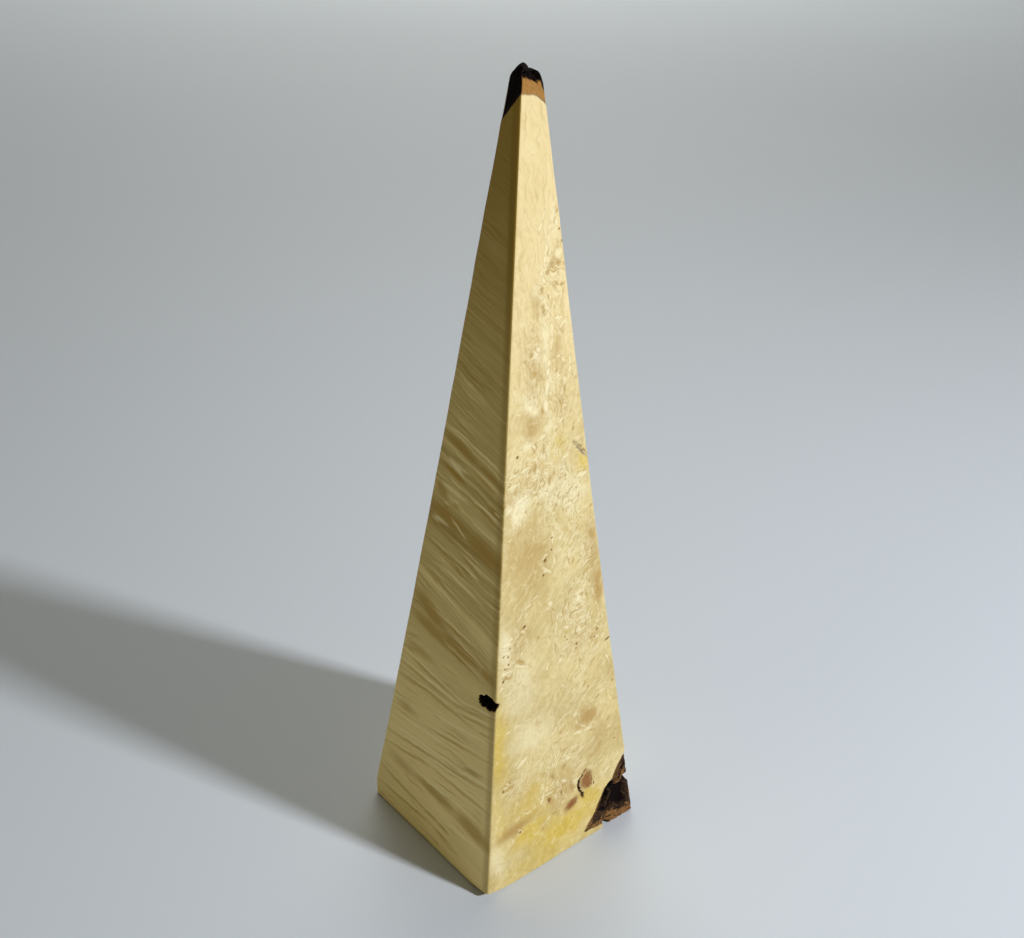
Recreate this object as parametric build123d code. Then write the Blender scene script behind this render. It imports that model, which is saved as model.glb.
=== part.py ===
"""Wooden finial: a square blank of burl wood, hollow-tapered to a point, with its own bark left on.

One solid. The origin is the centre of the foot and +Z points up to the tip. The front (-Y) and
left (-X) sides meet in the front arris. Bark is left at the tip and at the foot of the right arris,
and the sides keep their natural pockets, crack and gouge. Two corners of the foot are worn away.
"""
import os
from math import atan, cos, radians, sin

from build123d import *

# Driving dimensions of the worked blank, in millimetres
BASE_X = 51.5
BASE_Y = 50.4
HEIGHT = 195.0
TIP_X = 5.8
TIP_Y = 3.9
FLARE = 0.4
ARRIS_R = 0.6
FOOT_R = 0.6

# Ragged bark end of the tip, seen square to the front arris
TIP_FACING = 40.75
TIP_RAG = 3.0
TIP_PIT_DEPTH = 1.1
TIP_PIT_LOW = 3.8
TIP_PIT_HIGH = 1.2

# Bark left at the foot of the right arris
BARK_HIGH = 20.5
BARK_FRONT_RUN = 18.0
BARK_SIDE_RUN = 13.0
BARK_STEP = 0.6
CREVICE_DEPTH = 3.2
FURROW_DEPTH = 1.7
BARK_CRACK_DEPTH = 1.0
NOTCH_DEPTH = 1.3
CHIP_DEPTH = 3.0

# Foot corners worn away under the front arris and under the left arris
FRONT_WEAR_RUN = 7.5
FRONT_WEAR_RISE = 1.7
LEFT_WEAR_ACROSS = 3.0
LEFT_WEAR_RUN = 1.6
LEFT_WEAR_RISE = 5.5

# Bark pocket that breaks the front arris
POCKET_Z = 52.5
POCKET_WIDE = 6.2
POCKET_TALL = 4.0
POCKET_DEPTH = 2.6

# Crack round the knot in the front side
KNOT_Z = 17.5
KNOT_INSET = 16.5
KNOT_TALL = 8.4
KNOT_CRACK_DEPTH = 0.9

# Long shallow gouge beside the right arris
GOUGE_Z = 110.2
GOUGE_INSET = 2.3
GOUGE_TALL = 5.2
GOUGE_DEPTH = 0.45

# How far each cutter starts outside the surface that it cuts
PROUD = 0.5
OUTSIDE = 3.0

# Share of its mouth that each hollow keeps at its floor
STEP_FLOOR = 0.98
CREVICE_FLOOR = 0.55
FURROW_FLOOR = 0.75
SIDE_FURROW_FLOOR = 0.7
CRACK_FLOOR = 0.8
NOTCH_FLOOR = 0.6
CHIP_FLOOR = 0.9
PIT_FLOOR = 0.6
POCKET_FLOOR = 0.55
KNOT_FLOOR = 0.85
GOUGE_FLOOR = 0.5

# Outlines as shares of their own width and height, inset from the arris first, then height
TIP_OUTLINE = [(-1.6, 2.9), (-1.13, 2.0), (-1.0, 1.5), (-0.78, 0.93), (-0.55, 0.5), (-0.37, 0.13),
               (-0.22, 0.0), (-0.06, 0.1), (0.07, 0.32), (0.28, 0.42), (0.56, 0.47), (0.75, 0.7), (0.88, 1.0),
               (1.6, 3.0)]
TIP_PIT = [(-0.86, 0.5), (-0.86, 0.98), (0.3, 1.0), (0.68, 0.75), (0.72, 0.27), (0.38, 0.0), (0.0, 0.3),
           (-0.45, 0.45)]
BARK_FRONT_EDGE = [(0.0, 1.0), (0.13, 0.9), (0.25, 0.79), (0.33, 0.68), (0.485, 0.62), (0.58, 0.53),
                   (0.66, 0.44), (0.76, 0.32), (0.93, 0.185), (1.0, 0.12), (0.74, 0.09), (0.62, 0.08)]
BARK_SIDE_EDGE = [(0.0, 1.0), (0.17, 0.88), (0.3, 0.7), (0.47, 0.62), (0.62, 0.43), (0.83, 0.27), (1.0, 0.07)]
CREVICE = [(0.44, 0.63), (0.32, 0.65), (0.27, 0.53), (0.33, 0.46), (0.42, 0.52), (0.48, 0.4), (0.56, 0.3),
           (0.67, 0.29), (0.58, 0.44)]
FURROW = [(0.29, 0.54), (0.16, 0.58), (0.08, 0.56), (0.07, 0.42), (0.08, 0.2), (0.19, 0.15), (0.38, 0.25),
          (0.48, 0.2), (0.56, 0.2), (0.46, 0.38), (0.38, 0.48)]
BARK_CRACK = [(0.04, 0.8), (0.15, 0.77), (0.23, 0.67), (0.28, 0.57), (0.25, 0.56), (0.2, 0.65), (0.13, 0.73),
              (0.04, 0.76)]
SIDE_FURROW = [(0.12, 0.72), (0.26, 0.6), (0.44, 0.52), (0.58, 0.34), (0.72, 0.16), (0.62, 0.12), (0.5, 0.28),
               (0.36, 0.42), (0.2, 0.5), (0.1, 0.62)]
SIDE_CREVICE = [(0.1, 0.44), (0.24, 0.36), (0.38, 0.2), (0.42, 0.08), (0.32, 0.06), (0.22, 0.2), (0.1, 0.32)]
NOTCH = [(-0.12, 0.62), (0.14, 0.64), (0.24, 0.58), (0.12, 0.53), (-0.12, 0.55)]
CHIP = [(0.62, -0.05), (0.62, 0.09), (0.59, 0.1), (0.5, 0.04), (0.45, -0.05)]
POCKET = [(0.97, 0.2), (0.76, 0.31), (0.58, 0.48), (0.44, 0.42), (0.15, 0.33), (0.04, 0.34), (-0.03, 0.52),
          (-0.1, 0.42), (-0.1, 0.24), (-0.06, 0.05), (0.04, -0.13), (0.36, -0.39), (0.49, -0.37), (0.58, -0.28),
          (0.73, -0.42), (0.89, -0.44), (0.82, -0.25), (1.04, -0.38), (0.83, -0.09), (1.02, -0.15), (0.92, 0.0),
          (1.0, 0.06)]
KNOT_CRACK = [(-0.22, 0.5), (0.09, 0.23), (0.16, -0.03), (-0.02, -0.5), (-0.07, -0.46), (0.09, -0.02),
              (0.03, 0.21), (-0.24, 0.46)]
GOUGE = [(0.37, 0.48), (0.12, 0.27), (-0.08, 0.02), (-0.36, -0.42), (-0.24, -0.5), (0.12, -0.08)]

FRONT, RIGHT, LEFT = Vector(0, -1, 0), Vector(1, 0, 0), Vector(-1, 0, 0)
UP = Vector(0, 0, 1)


def half_width(base, tip, z):
    """Half of the blank's width at height z: a straight taper, hollowed by FLARE at mid-height."""
    t = z / HEIGHT
    return ((1 - t) * base + t * tip) / 2 - 4 * FLARE * t * (1 - t)


def half_x(z):
    return half_width(BASE_X, TIP_X, z)


def half_y(z):
    return half_width(BASE_Y, TIP_Y, z)


def reach(outward, z):
    """Distance from the axis to the side that faces outward."""
    return half_y(z) if outward.X == 0 else half_x(z)


def breadth(outward, z):
    """Half of that side's own width."""
    return half_x(z) if outward.X == 0 else half_y(z)


def side_plane(outward, z):
    """Plane on one side of the blank at height z: x across, y up the slope, z out of the wood."""
    rise = 1.0
    lean = atan((reach(outward, z) - reach(outward, z + rise)) / rise)
    origin = outward * reach(outward, z) + UP * z
    return Plane(origin=origin, x_dir=UP.cross(outward), z_dir=outward * cos(lean) + UP * sin(lean))


def profile(base, tip):
    """Outline of the blank seen square to a side, with parabolic flanks."""
    waist = (base + tip) / 4 - 2 * FLARE
    flank = Bezier((base / 2, 0), (waist, HEIGHT / 2), (tip / 2, HEIGHT))
    top = Line((tip / 2, HEIGHT), (-tip / 2, HEIGHT))
    foot = Line((-base / 2, 0), (base / 2, 0))
    return make_face([flank, top, mirror(flank, Plane.YZ), foot])


def blank():
    """The worked blank: two hollow tapers crossed, arrises and foot eased."""
    seen_from_front = extrude(Plane.XZ * profile(BASE_X, TIP_X), BASE_Y, both=True)
    seen_from_side = extrude(Plane.YZ * profile(BASE_Y, TIP_Y), BASE_X, both=True)
    body = seen_from_front & seen_from_side
    corners = [edge for edge in body.edges() if edge.bounding_box().size.Z > HEIGHT / 2]
    body = fillet(corners, ARRIS_R)
    return fillet(body.faces().sort_by(Axis.Z)[0].outer_wire().edges(), FOOT_R)


def hollow(outward, outline, depth, floor):
    """Cutter for a natural hollow: its mouth is the outline on a side, its walls close in to a floor."""
    middle = sum(z for _, z in outline) / len(outline)
    plane = side_plane(outward, middle)
    upright = plane.y_dir.Z
    points = [Vector(across, (z - middle) / upright) for across, z in outline]
    centre = sum(points, Vector(0, 0)) / len(points)
    mouth = 1 + (1 - floor) * PROUD / depth

    def ring(share, level):
        corners = [centre + (point - centre) * share for point in points]
        return plane.offset(level) * make_face(Polyline(*corners, close=True))

    return loft([ring(floor, -depth), ring(mouth, PROUD)], ruled=True)


def by_arris(outward, hand, shares, wide, tall, z=0.0, inset=0.0):
    """Turns shares of a width and height into points, measured in from the arris on one hand of a side."""
    points = []
    for share_in, share_up in shares:
        height = z + share_up * tall
        points.append((hand * (breadth(outward, height) - inset - share_in * wide), height))
    return points


def bark_step(outward, hand, edge, run):
    """Cutter that sets the bark back from the worked side, from its edge past the arris and the foot."""
    last_in = edge[-1][0]
    low, high = -OUTSIDE / BARK_HIGH, 1 + OUTSIDE / BARK_HIGH
    beyond = -OUTSIDE / run
    shares = edge + [(last_in, low), (beyond, low), (beyond, high), (0.0, high)]
    outline = by_arris(outward, hand, shares, run, BARK_HIGH)
    return hollow(outward, outline, BARK_STEP, STEP_FLOOR)


def bark_corner():
    """Cutters for the furrowed bark at the foot of the right arris."""

    def on_front(shares, depth, floor):
        return hollow(FRONT, by_arris(FRONT, 1, shares, BARK_FRONT_RUN, BARK_HIGH), depth, floor)

    def on_side(shares, depth, floor):
        return hollow(RIGHT, by_arris(RIGHT, -1, shares, BARK_SIDE_RUN, BARK_HIGH), depth, floor)

    return [
        bark_step(FRONT, 1, BARK_FRONT_EDGE, BARK_FRONT_RUN),
        bark_step(RIGHT, -1, BARK_SIDE_EDGE, BARK_SIDE_RUN),
        on_front(CREVICE, CREVICE_DEPTH, CREVICE_FLOOR),
        on_front(FURROW, FURROW_DEPTH, FURROW_FLOOR),
        on_front(BARK_CRACK, BARK_CRACK_DEPTH, CRACK_FLOOR),
        on_front(CHIP, CHIP_DEPTH, CHIP_FLOOR),
        on_side(SIDE_FURROW, FURROW_DEPTH, SIDE_FURROW_FLOOR),
        on_side(SIDE_CREVICE, FURROW_DEPTH, CREVICE_FLOOR),
        on_side(NOTCH, NOTCH_DEPTH, NOTCH_FLOOR),
    ]


def worn_corner(side_x, side_y, along_x, along_y, rise):
    """Cutter that takes off one corner of the foot, by its runs along the foot and its rise up the arris."""
    normal = Vector(side_x / along_x, side_y / along_y, -1 / rise).normalized()
    on_foot = Vector(side_x * (BASE_X / 2 - along_x), side_y * BASE_Y / 2, 0)
    plane = Plane(origin=on_foot, x_dir=normal.cross(UP), z_dir=normal)
    return extrude(plane * Rectangle(BASE_X, BASE_X), OUTSIDE)


def ragged_tip():
    """Cutter above the ragged outline of the bark end, drawn square to the front arris."""
    turn = radians(TIP_FACING)
    across = Vector(cos(turn), -sin(turn), 0)
    half_span = (TIP_X * cos(turn) + TIP_Y * sin(turn)) / 2
    plane = Plane(origin=UP * HEIGHT, x_dir=across, z_dir=across.cross(UP))
    points = [(share * half_span, -drop * TIP_RAG) for share, drop in TIP_OUTLINE]
    first, last = points[0], points[-1]
    above = [(last[0], OUTSIDE), (first[0], OUTSIDE)]
    return extrude(plane * make_face(Polyline(*points, *above, close=True)), BASE_X, both=True)


def tip_pit():
    """Cutter for the black pit in the front side, just under the ragged end."""
    low, high = HEIGHT - TIP_PIT_LOW, HEIGHT - TIP_PIT_HIGH
    outline = [(share * half_x(low), low + up * (high - low)) for share, up in TIP_PIT]
    return hollow(FRONT, outline, TIP_PIT_DEPTH, PIT_FLOOR)


def arris_pocket():
    """Cutter for the bark pocket in the left side, breaking through the front arris."""
    outline = by_arris(LEFT, 1, POCKET, POCKET_WIDE, POCKET_TALL, POCKET_Z)
    return hollow(LEFT, outline, POCKET_DEPTH, POCKET_FLOOR)


def knot_crack():
    """Cutter for the crack that runs round the knot in the front side."""
    outline = by_arris(FRONT, 1, KNOT_CRACK, KNOT_TALL, KNOT_TALL, KNOT_Z, KNOT_INSET)
    return hollow(FRONT, outline, KNOT_CRACK_DEPTH, KNOT_FLOOR)


def gouge():
    """Cutter for the long shallow gouge beside the right arris."""
    outline = by_arris(FRONT, 1, GOUGE, GOUGE_TALL, GOUGE_TALL, GOUGE_Z, GOUGE_INSET)
    return hollow(FRONT, outline, GOUGE_DEPTH, GOUGE_FLOOR)


def finial():
    """The whole piece, carved from one blank."""
    body = blank() - ragged_tip()
    front_wear = worn_corner(-1, -1, FRONT_WEAR_RUN, FRONT_WEAR_RUN, FRONT_WEAR_RISE)
    left_wear = worn_corner(-1, 1, LEFT_WEAR_ACROSS, LEFT_WEAR_RUN, LEFT_WEAR_RISE)
    for cutter in [front_wear, left_wear, tip_pit(), *bark_corner(), arris_pocket(), knot_crack(), gouge()]:
        body = body - cutter
    return body


os.makedirs("parts", exist_ok=True)
export_step(finial(), "parts/finial.step")
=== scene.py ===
"""Wooden finial of burl wood with its natural bark: the finish, lit and seen as in the photograph."""
from math import cos, pi, radians, sin

import bpy
import numpy as np
from mathutils import Matrix, Vector, noise


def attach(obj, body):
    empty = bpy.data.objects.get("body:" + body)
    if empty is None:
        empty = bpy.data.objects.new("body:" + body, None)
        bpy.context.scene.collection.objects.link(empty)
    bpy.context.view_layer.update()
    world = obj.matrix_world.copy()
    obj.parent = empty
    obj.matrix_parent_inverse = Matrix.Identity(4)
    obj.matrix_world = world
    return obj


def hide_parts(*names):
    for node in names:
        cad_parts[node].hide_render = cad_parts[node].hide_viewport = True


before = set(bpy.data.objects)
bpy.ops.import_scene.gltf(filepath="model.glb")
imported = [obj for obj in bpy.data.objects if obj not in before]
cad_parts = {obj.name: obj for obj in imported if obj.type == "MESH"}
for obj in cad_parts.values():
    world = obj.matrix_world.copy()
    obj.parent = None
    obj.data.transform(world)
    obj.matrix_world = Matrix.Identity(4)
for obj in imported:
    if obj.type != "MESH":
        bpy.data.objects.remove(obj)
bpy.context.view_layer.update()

MM = 0.001

# The worked blank, in millimetres
BASE_X, BASE_Y, HEIGHT = 51.5, 50.4, 195.0
TIP_X, TIP_Y, FLARE = 5.8, 3.9, 0.4
ARRIS_R, FOOT_R = 0.6, 0.6

# The ragged bark end of the tip
TIP_FACING, TIP_RAG = radians(40.75), 3.0
TIP_PIT_DEPTH, TIP_PIT_WALL, TIP_PIT_LOW, TIP_PIT_HIGH = 1.1, 0.5, 3.8, 1.2
TIP_BARK_Z, TIP_BARK_ACROSS, TIP_BARK_BACK = 186.3, 0.12, 1.15
TIP_BARK_BOW, TIP_BARK_BOW_FROM = 0.13, -0.5
TORN_FROM, TORN_FULL = 191.0, 194.0
CROWN_FROM, CROWN_FULL = 191.3, 192.0
TIP_SLIM, TIP_SLIM_LEFT, TIP_SLIM_FROM, TIP_SLIM_FULL = 0.13, 0.3, 165.0, 176.0
TIP_OUTLINE = [
    (-1.6, 2.6), (-1.19, 1.5), (-1.03, 0.93), (-0.82, 0.5), (-0.53, 0.13), (-0.36, 0.0), (-0.2, 0.05),
    (-0.03, 0.2), (0.09, 0.42), (0.5, 0.45), (0.71, 0.52), (0.86, 0.8), (1.0, 1.35), (1.6, 3.0)
]
TIP_PIT = [
    (-0.86, 0.5), (-0.86, 0.98), (0.3, 1.0), (0.68, 0.75), (0.72, 0.27), (0.38, 0.0), (0.0, 0.3),
    (-0.45, 0.45)
]

# The bark left at the foot of the right arris
BARK_HIGH, BARK_FRONT_RUN, BARK_SIDE_RUN = 20.5, 18.0, 13.0
BARK_STEP, CREVICE_DEPTH, FURROW_DEPTH, BARK_CRACK_DEPTH = 0.6, 3.2, 1.7, 1.0
NOTCH_DEPTH, CHIP_DEPTH = 1.6, 3.0
CREVICE_WALL, FURROW_WALL, BARK_CRACK_WALL, NOTCH_WALL, CHIP_WALL = 0.9, 0.8, 0.4, 0.6, 0.3
BARK_LAYER, BARK_LAYER_RISE, BARK_PLATE_RISE = 1.9, 0.45, 0.55
ARRIS_RELIEF, ARRIS_RELIEF_RUN = 0.45, 3.5
BARK_FRONT_EDGE = [
    (0.0, 1.0), (0.13, 0.9), (0.25, 0.79), (0.33, 0.68), (0.485, 0.62), (0.58, 0.53), (0.66, 0.44),
    (0.76, 0.32), (0.93, 0.185), (1.0, 0.12), (0.74, 0.09), (0.62, 0.08)
]
BARK_SIDE_EDGE = [
    (0.0, 1.0), (0.17, 0.88), (0.3, 0.7), (0.47, 0.62), (0.62, 0.43), (0.83, 0.27), (1.0, 0.07)
]
CREVICE = [
    (0.44, 0.63), (0.32, 0.65), (0.27, 0.53), (0.33, 0.46), (0.42, 0.52), (0.48, 0.4), (0.56, 0.3),
    (0.67, 0.29), (0.58, 0.44)
]
FURROW = [
    (0.29, 0.54), (0.16, 0.58), (0.08, 0.56), (0.07, 0.42), (0.08, 0.2), (0.19, 0.15), (0.38, 0.25),
    (0.48, 0.2), (0.56, 0.2), (0.46, 0.38), (0.38, 0.48)
]
BARK_CRACK = [
    (0.04, 0.8), (0.15, 0.77), (0.23, 0.67), (0.28, 0.57), (0.25, 0.56), (0.2, 0.65), (0.13, 0.73),
    (0.04, 0.76)
]
SIDE_FURROW = [
    (0.12, 0.72), (0.26, 0.6), (0.44, 0.52), (0.58, 0.34), (0.72, 0.16), (0.62, 0.12), (0.5, 0.28),
    (0.36, 0.42), (0.2, 0.5), (0.1, 0.62)
]
SIDE_CREVICE = [
    (0.1, 0.44), (0.24, 0.36), (0.38, 0.2), (0.42, 0.08), (0.32, 0.06), (0.22, 0.2), (0.1, 0.32)
]
NOTCH = [(-0.16, 0.62), (0.14, 0.66), (0.24, 0.58), (0.12, 0.5), (-0.16, 0.54)]
CHIP = [(0.62, -0.05), (0.62, 0.09), (0.59, 0.1), (0.5, 0.04), (0.45, -0.05)]
BARK_LEDGE = [
    (0.62, 0.09), (0.51, 0.2), (0.39, 0.21), (0.29, 0.12), (0.22, 0.13), (0.02, 0.12), (-0.1, -0.1),
    (0.62, -0.1)
]
BARK_LOBE = [(0.27, 0.9), (0.05, 0.8), (0.04, 0.67), (0.17, 0.57), (0.28, 0.46), (0.3, 0.59), (0.36, 0.72)]

# The bark pocket in the front arris, the knot's crack and the gouge
POCKET_Z, POCKET_WIDE, POCKET_TALL, POCKET_DEPTH, POCKET_WALL = 52.5, 6.2, 4.0, 2.6, 0.55
POCKET = [
    (0.97, 0.2), (0.76, 0.31), (0.58, 0.48), (0.44, 0.5), (0.15, 0.46), (0.04, 0.42), (-0.04, 0.36),
    (-0.1, 0.26), (-0.1, 0.14), (-0.06, 0.05), (0.04, -0.13), (0.36, -0.39), (0.49, -0.37), (0.58, -0.28),
    (0.73, -0.42), (0.89, -0.44), (0.82, -0.25), (1.04, -0.38), (0.83, -0.09), (1.02, -0.15), (0.92, 0.0),
    (1.0, 0.06)
]
KNOT_Z, KNOT_INSET, KNOT_TALL, KNOT_CRACK_DEPTH, KNOT_CRACK_WALL = 17.5, 16.5, 8.4, 0.9, 0.25
KNOT_CRACK = [
    (-0.22, 0.5), (0.09, 0.23), (0.16, -0.03), (-0.02, -0.5), (-0.07, -0.46), (0.09, -0.02), (0.03, 0.21),
    (-0.24, 0.46)
]
GOUGE_Z, GOUGE_INSET, GOUGE_TALL, GOUGE_DEPTH, GOUGE_WALL = 110.2, 2.3, 5.2, 0.45, 0.5
GOUGE = [(0.37, 0.48), (0.12, 0.27), (-0.08, 0.02), (-0.36, -0.42), (-0.24, -0.5), (0.12, -0.08)]

# The worn corners of the foot: runs along the foot, rise up the arris, and how far the skin is drawn along
FRONT_WEAR_RUN, FRONT_WEAR_RISE, FRONT_WEAR_REACH, FRONT_WEAR_CURVE = 9.4, 1.7, 4.0, 1.6
LEFT_WEAR_ACROSS, LEFT_WEAR_RUN, LEFT_WEAR_RISE, LEFT_WEAR_REACH = 3.0, 1.6, 5.5, 6.0

# The sanded surface's faint waves and the ragged rims of natural hollows: depth and size
SAND_DEPTH, SAND_WAVE, SAND_SIZE = 0.012, 0.06, 9.0
RAG_DEPTH, RAG_SIZE = 0.3, 1.1

# The mesh: spacing of its rows and columns, in millimetres
ROW_STEPS = [
    (0.6, 21.0, 0.3), (21.0, 48.0, 1.0), (48.0, 57.0, 0.32), (57.0, 105.0, 1.0), (105.0, 115.0, 0.5),
    (115.0, 178.0, 1.2)
]
TIP_FROM, TIP_ROWS, CAP_RINGS, FOOT_RINGS = 178.0, 62, 8, 2
ARC_STEPS, FOOT_STEPS = 5, 4
FRONT, RIGHT, BACK, LEFT = range(4)
FAR = 50.0

# How far a normal faces a side for its point to lie on that side
SIDE_FACING = 0.38

# Growth layers on the left side: their heights at the front arris, and 30 mm in from it
LAYER_RUN = 30.0
LAYERS = [
    (-40.0, -40.0), (0.0, 0.0), (6.4, 8.8), (10.3, 14.4), (13.2, 16.2), (27.7, 23.4), (46.9, 44.3),
    (50.1, 47.0), (52.5, 52.5), (57.5, 63.2), (61.0, 69.4), (66.4, 74.4), (74.3, 77.5), (80.7, 85.0),
    (87.4, 92.6), (92.9, 99.7), (99.2, 107.5), (106.2, 113.9), (118.0, 127.0), (240.0, 250.0)
]

# Heights over which painted bounce light on the left side fades out going up
PAINTED_BOUNCE_FULL, PAINTED_BOUNCE_END = 25.0, 95.0
# Heights over which painted shade darkens the left side towards the top
PAINTED_SHADE_FROM, PAINTED_SHADE_FULL = 105.0, 185.0

# Fibres of the front side: their lean low down, and the heights between which they turn upright
FIBRE_LEAN, FIBRE_TURN, FIBRE_UPRIGHT, FIBRE_SHIFT = 0.8, 90.0, 130.0, 16.0

# How far the front's lines and patches sink round its arrises, and how patches wander
LINE_FADE, PATCH_FADE = 1.5, 2.5
PATCH_WARP_X, PATCH_WARP_Z, PATCH_WARP_SIZE = 1.6, 2.2, 5.0

# Figure of the front side: (across, height, half width, half height, tilt, strength) of each soft patch
BURL = [
    (0, 108, 14, 9, 0, 1.0), (6, 98, 10, 8, 0, 0.9), (8, 85, 7, 14, 0, 0.8), (8, 65, 10, 12, 0, 0.95),
    (-13, 64, 6, 8, 0, 0.8), (-9, 101, 6, 5, 0, 0.8), (3, 150, 4, 10, 0, 0.7), (4, 130, 5, 14, 0, 0.55),
    (-3, 130, 4, 18, 0, 0.5), (6, 45, 12, 8, 0, 0.5), (0, 25, 14, 8, 0, 0.8), (-14, 28, 5, 5, 0, 0.7),
    (5, 12, 10, 8, 0, 0.3)
]
TAN = [
    (-1.3, 145.8, 1.8, 3.2, 0, 0.5), (-3.1, 139, 2.6, 3.4, 0, 0.4), (-3.4, 131.5, 2.6, 6.5, 0, 0.75),
    (-4.4, 119.4, 2.9, 3.6, 0, 0.85), (14.7, 73, 1.8, 6, 0, 1.0), (12.8, 85.6, 1.8, 7, 0, 0.9),
    (10.1, 37.5, 3.6, 2.6, 0, 1.0), (0, 21.2, 5.5, 6, 0, 0.7), (-10, 22, 6, 4.5, 25, 0.6),
    (14.3, 29.4, 4, 4, 0, 0.5), (3.7, 154.6, 1.5, 2.8, 0, 0.7), (4.7, 136, 2, 6, 0, 0.5),
    (4.7, 123, 2.2, 5, 0, 0.5), (-2.2, 105.8, 6, 4, 0, 0.5), (-10.6, 103.6, 2.6, 2.2, 0, 0.6),
    (-10.5, 67.7, 5, 3.5, 20, 0.5), (10.1, 59.2, 6, 3.6, 0, 0.5), (-7.2, 88.5, 6.5, 9.5, 0, 0.7),
    (-15.8, 16.0, 8.5, 2.2, 9, 1.0)
]
PALE = [
    (-0.9, 147.7, 1.3, 1.2, 0, 0.9), (-2.1, 135.5, 1.7, 1.4, 0, 0.9), (-4.2, 124.3, 2.3, 2.2, 0, 0.9),
    (-5.6, 114.8, 2.6, 1.7, 0, 0.9), (-9.4, 100.8, 3.4, 2.6, 25, 1.2), (-2, 102.8, 3, 1.2, 20, 0.9),
    (-15.1, 66.9, 2.2, 7, 0, 0.8), (8.3, 71.1, 1.6, 1.8, 0, 0.8), (0.9, 137, 0.9, 11, 0, 0.7),
    (0.8, 124, 0.9, 9, 0, 0.7), (4.4, 164.5, 0.8, 4.5, 10, 0.6), (1.8, 157.5, 0.9, 6, 0, 0.6),
    (-11.3, 54.4, 5.5, 8, 0, 0.6), (-9, 40.5, 6, 5, 0, 0.6), (-21.7, 9.4, 2, 6, 0, 0.7),
    (-5.1, 22.3, 3.5, 3, 0, 0.6), (5.3, 101, 6, 5, 0, 0.6)
]
GOLD = [
    (10.6, 106.2, 2.6, 2.2, 0, 1.1), (3.3, 112.6, 2.6, 2.6, 0, 0.6), (1.5, 8.4, 12, 4.5, 6, 1.2),
    (-19.6, 41.5, 3.0, 13, 0, 0.8), (9.5, 12.6, 5, 3.4, 0, 1.2), (-10.5, 12.2, 7, 3.2, 8, 1.0),
    (-6.0, 3.5, 15, 3.6, 3, 0.6), (-20.5, 20.0, 3.0, 9, 0, 0.5), (-9.5, 21.0, 8, 6, 20, 0.7)
]

# Eyes that the fibres of the front side part around: (across, height, radius)
EYES = [
    (4.8, 152.7, 1.5), (7.9, 70.4, 2.0), (-9.1, 70.6, 1.4), (7.1, 59.4, 1.6), (-15.0, 63.5, 1.8),
    (14.3, 60.9, 1.5), (-16.7, 29.8, 2.6), (9.7, 38.2, 3.2), (7.0, 18.0, 3.6), (-4.8, 21.0, 2.0),
    (-13.9, 14.2, 1.2), (-2.5, 84.0, 1.3), (9.0, 108.0, 2.0), (-4.0, 107.0, 1.6), (5.0, 96.0, 1.6)
]

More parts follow.
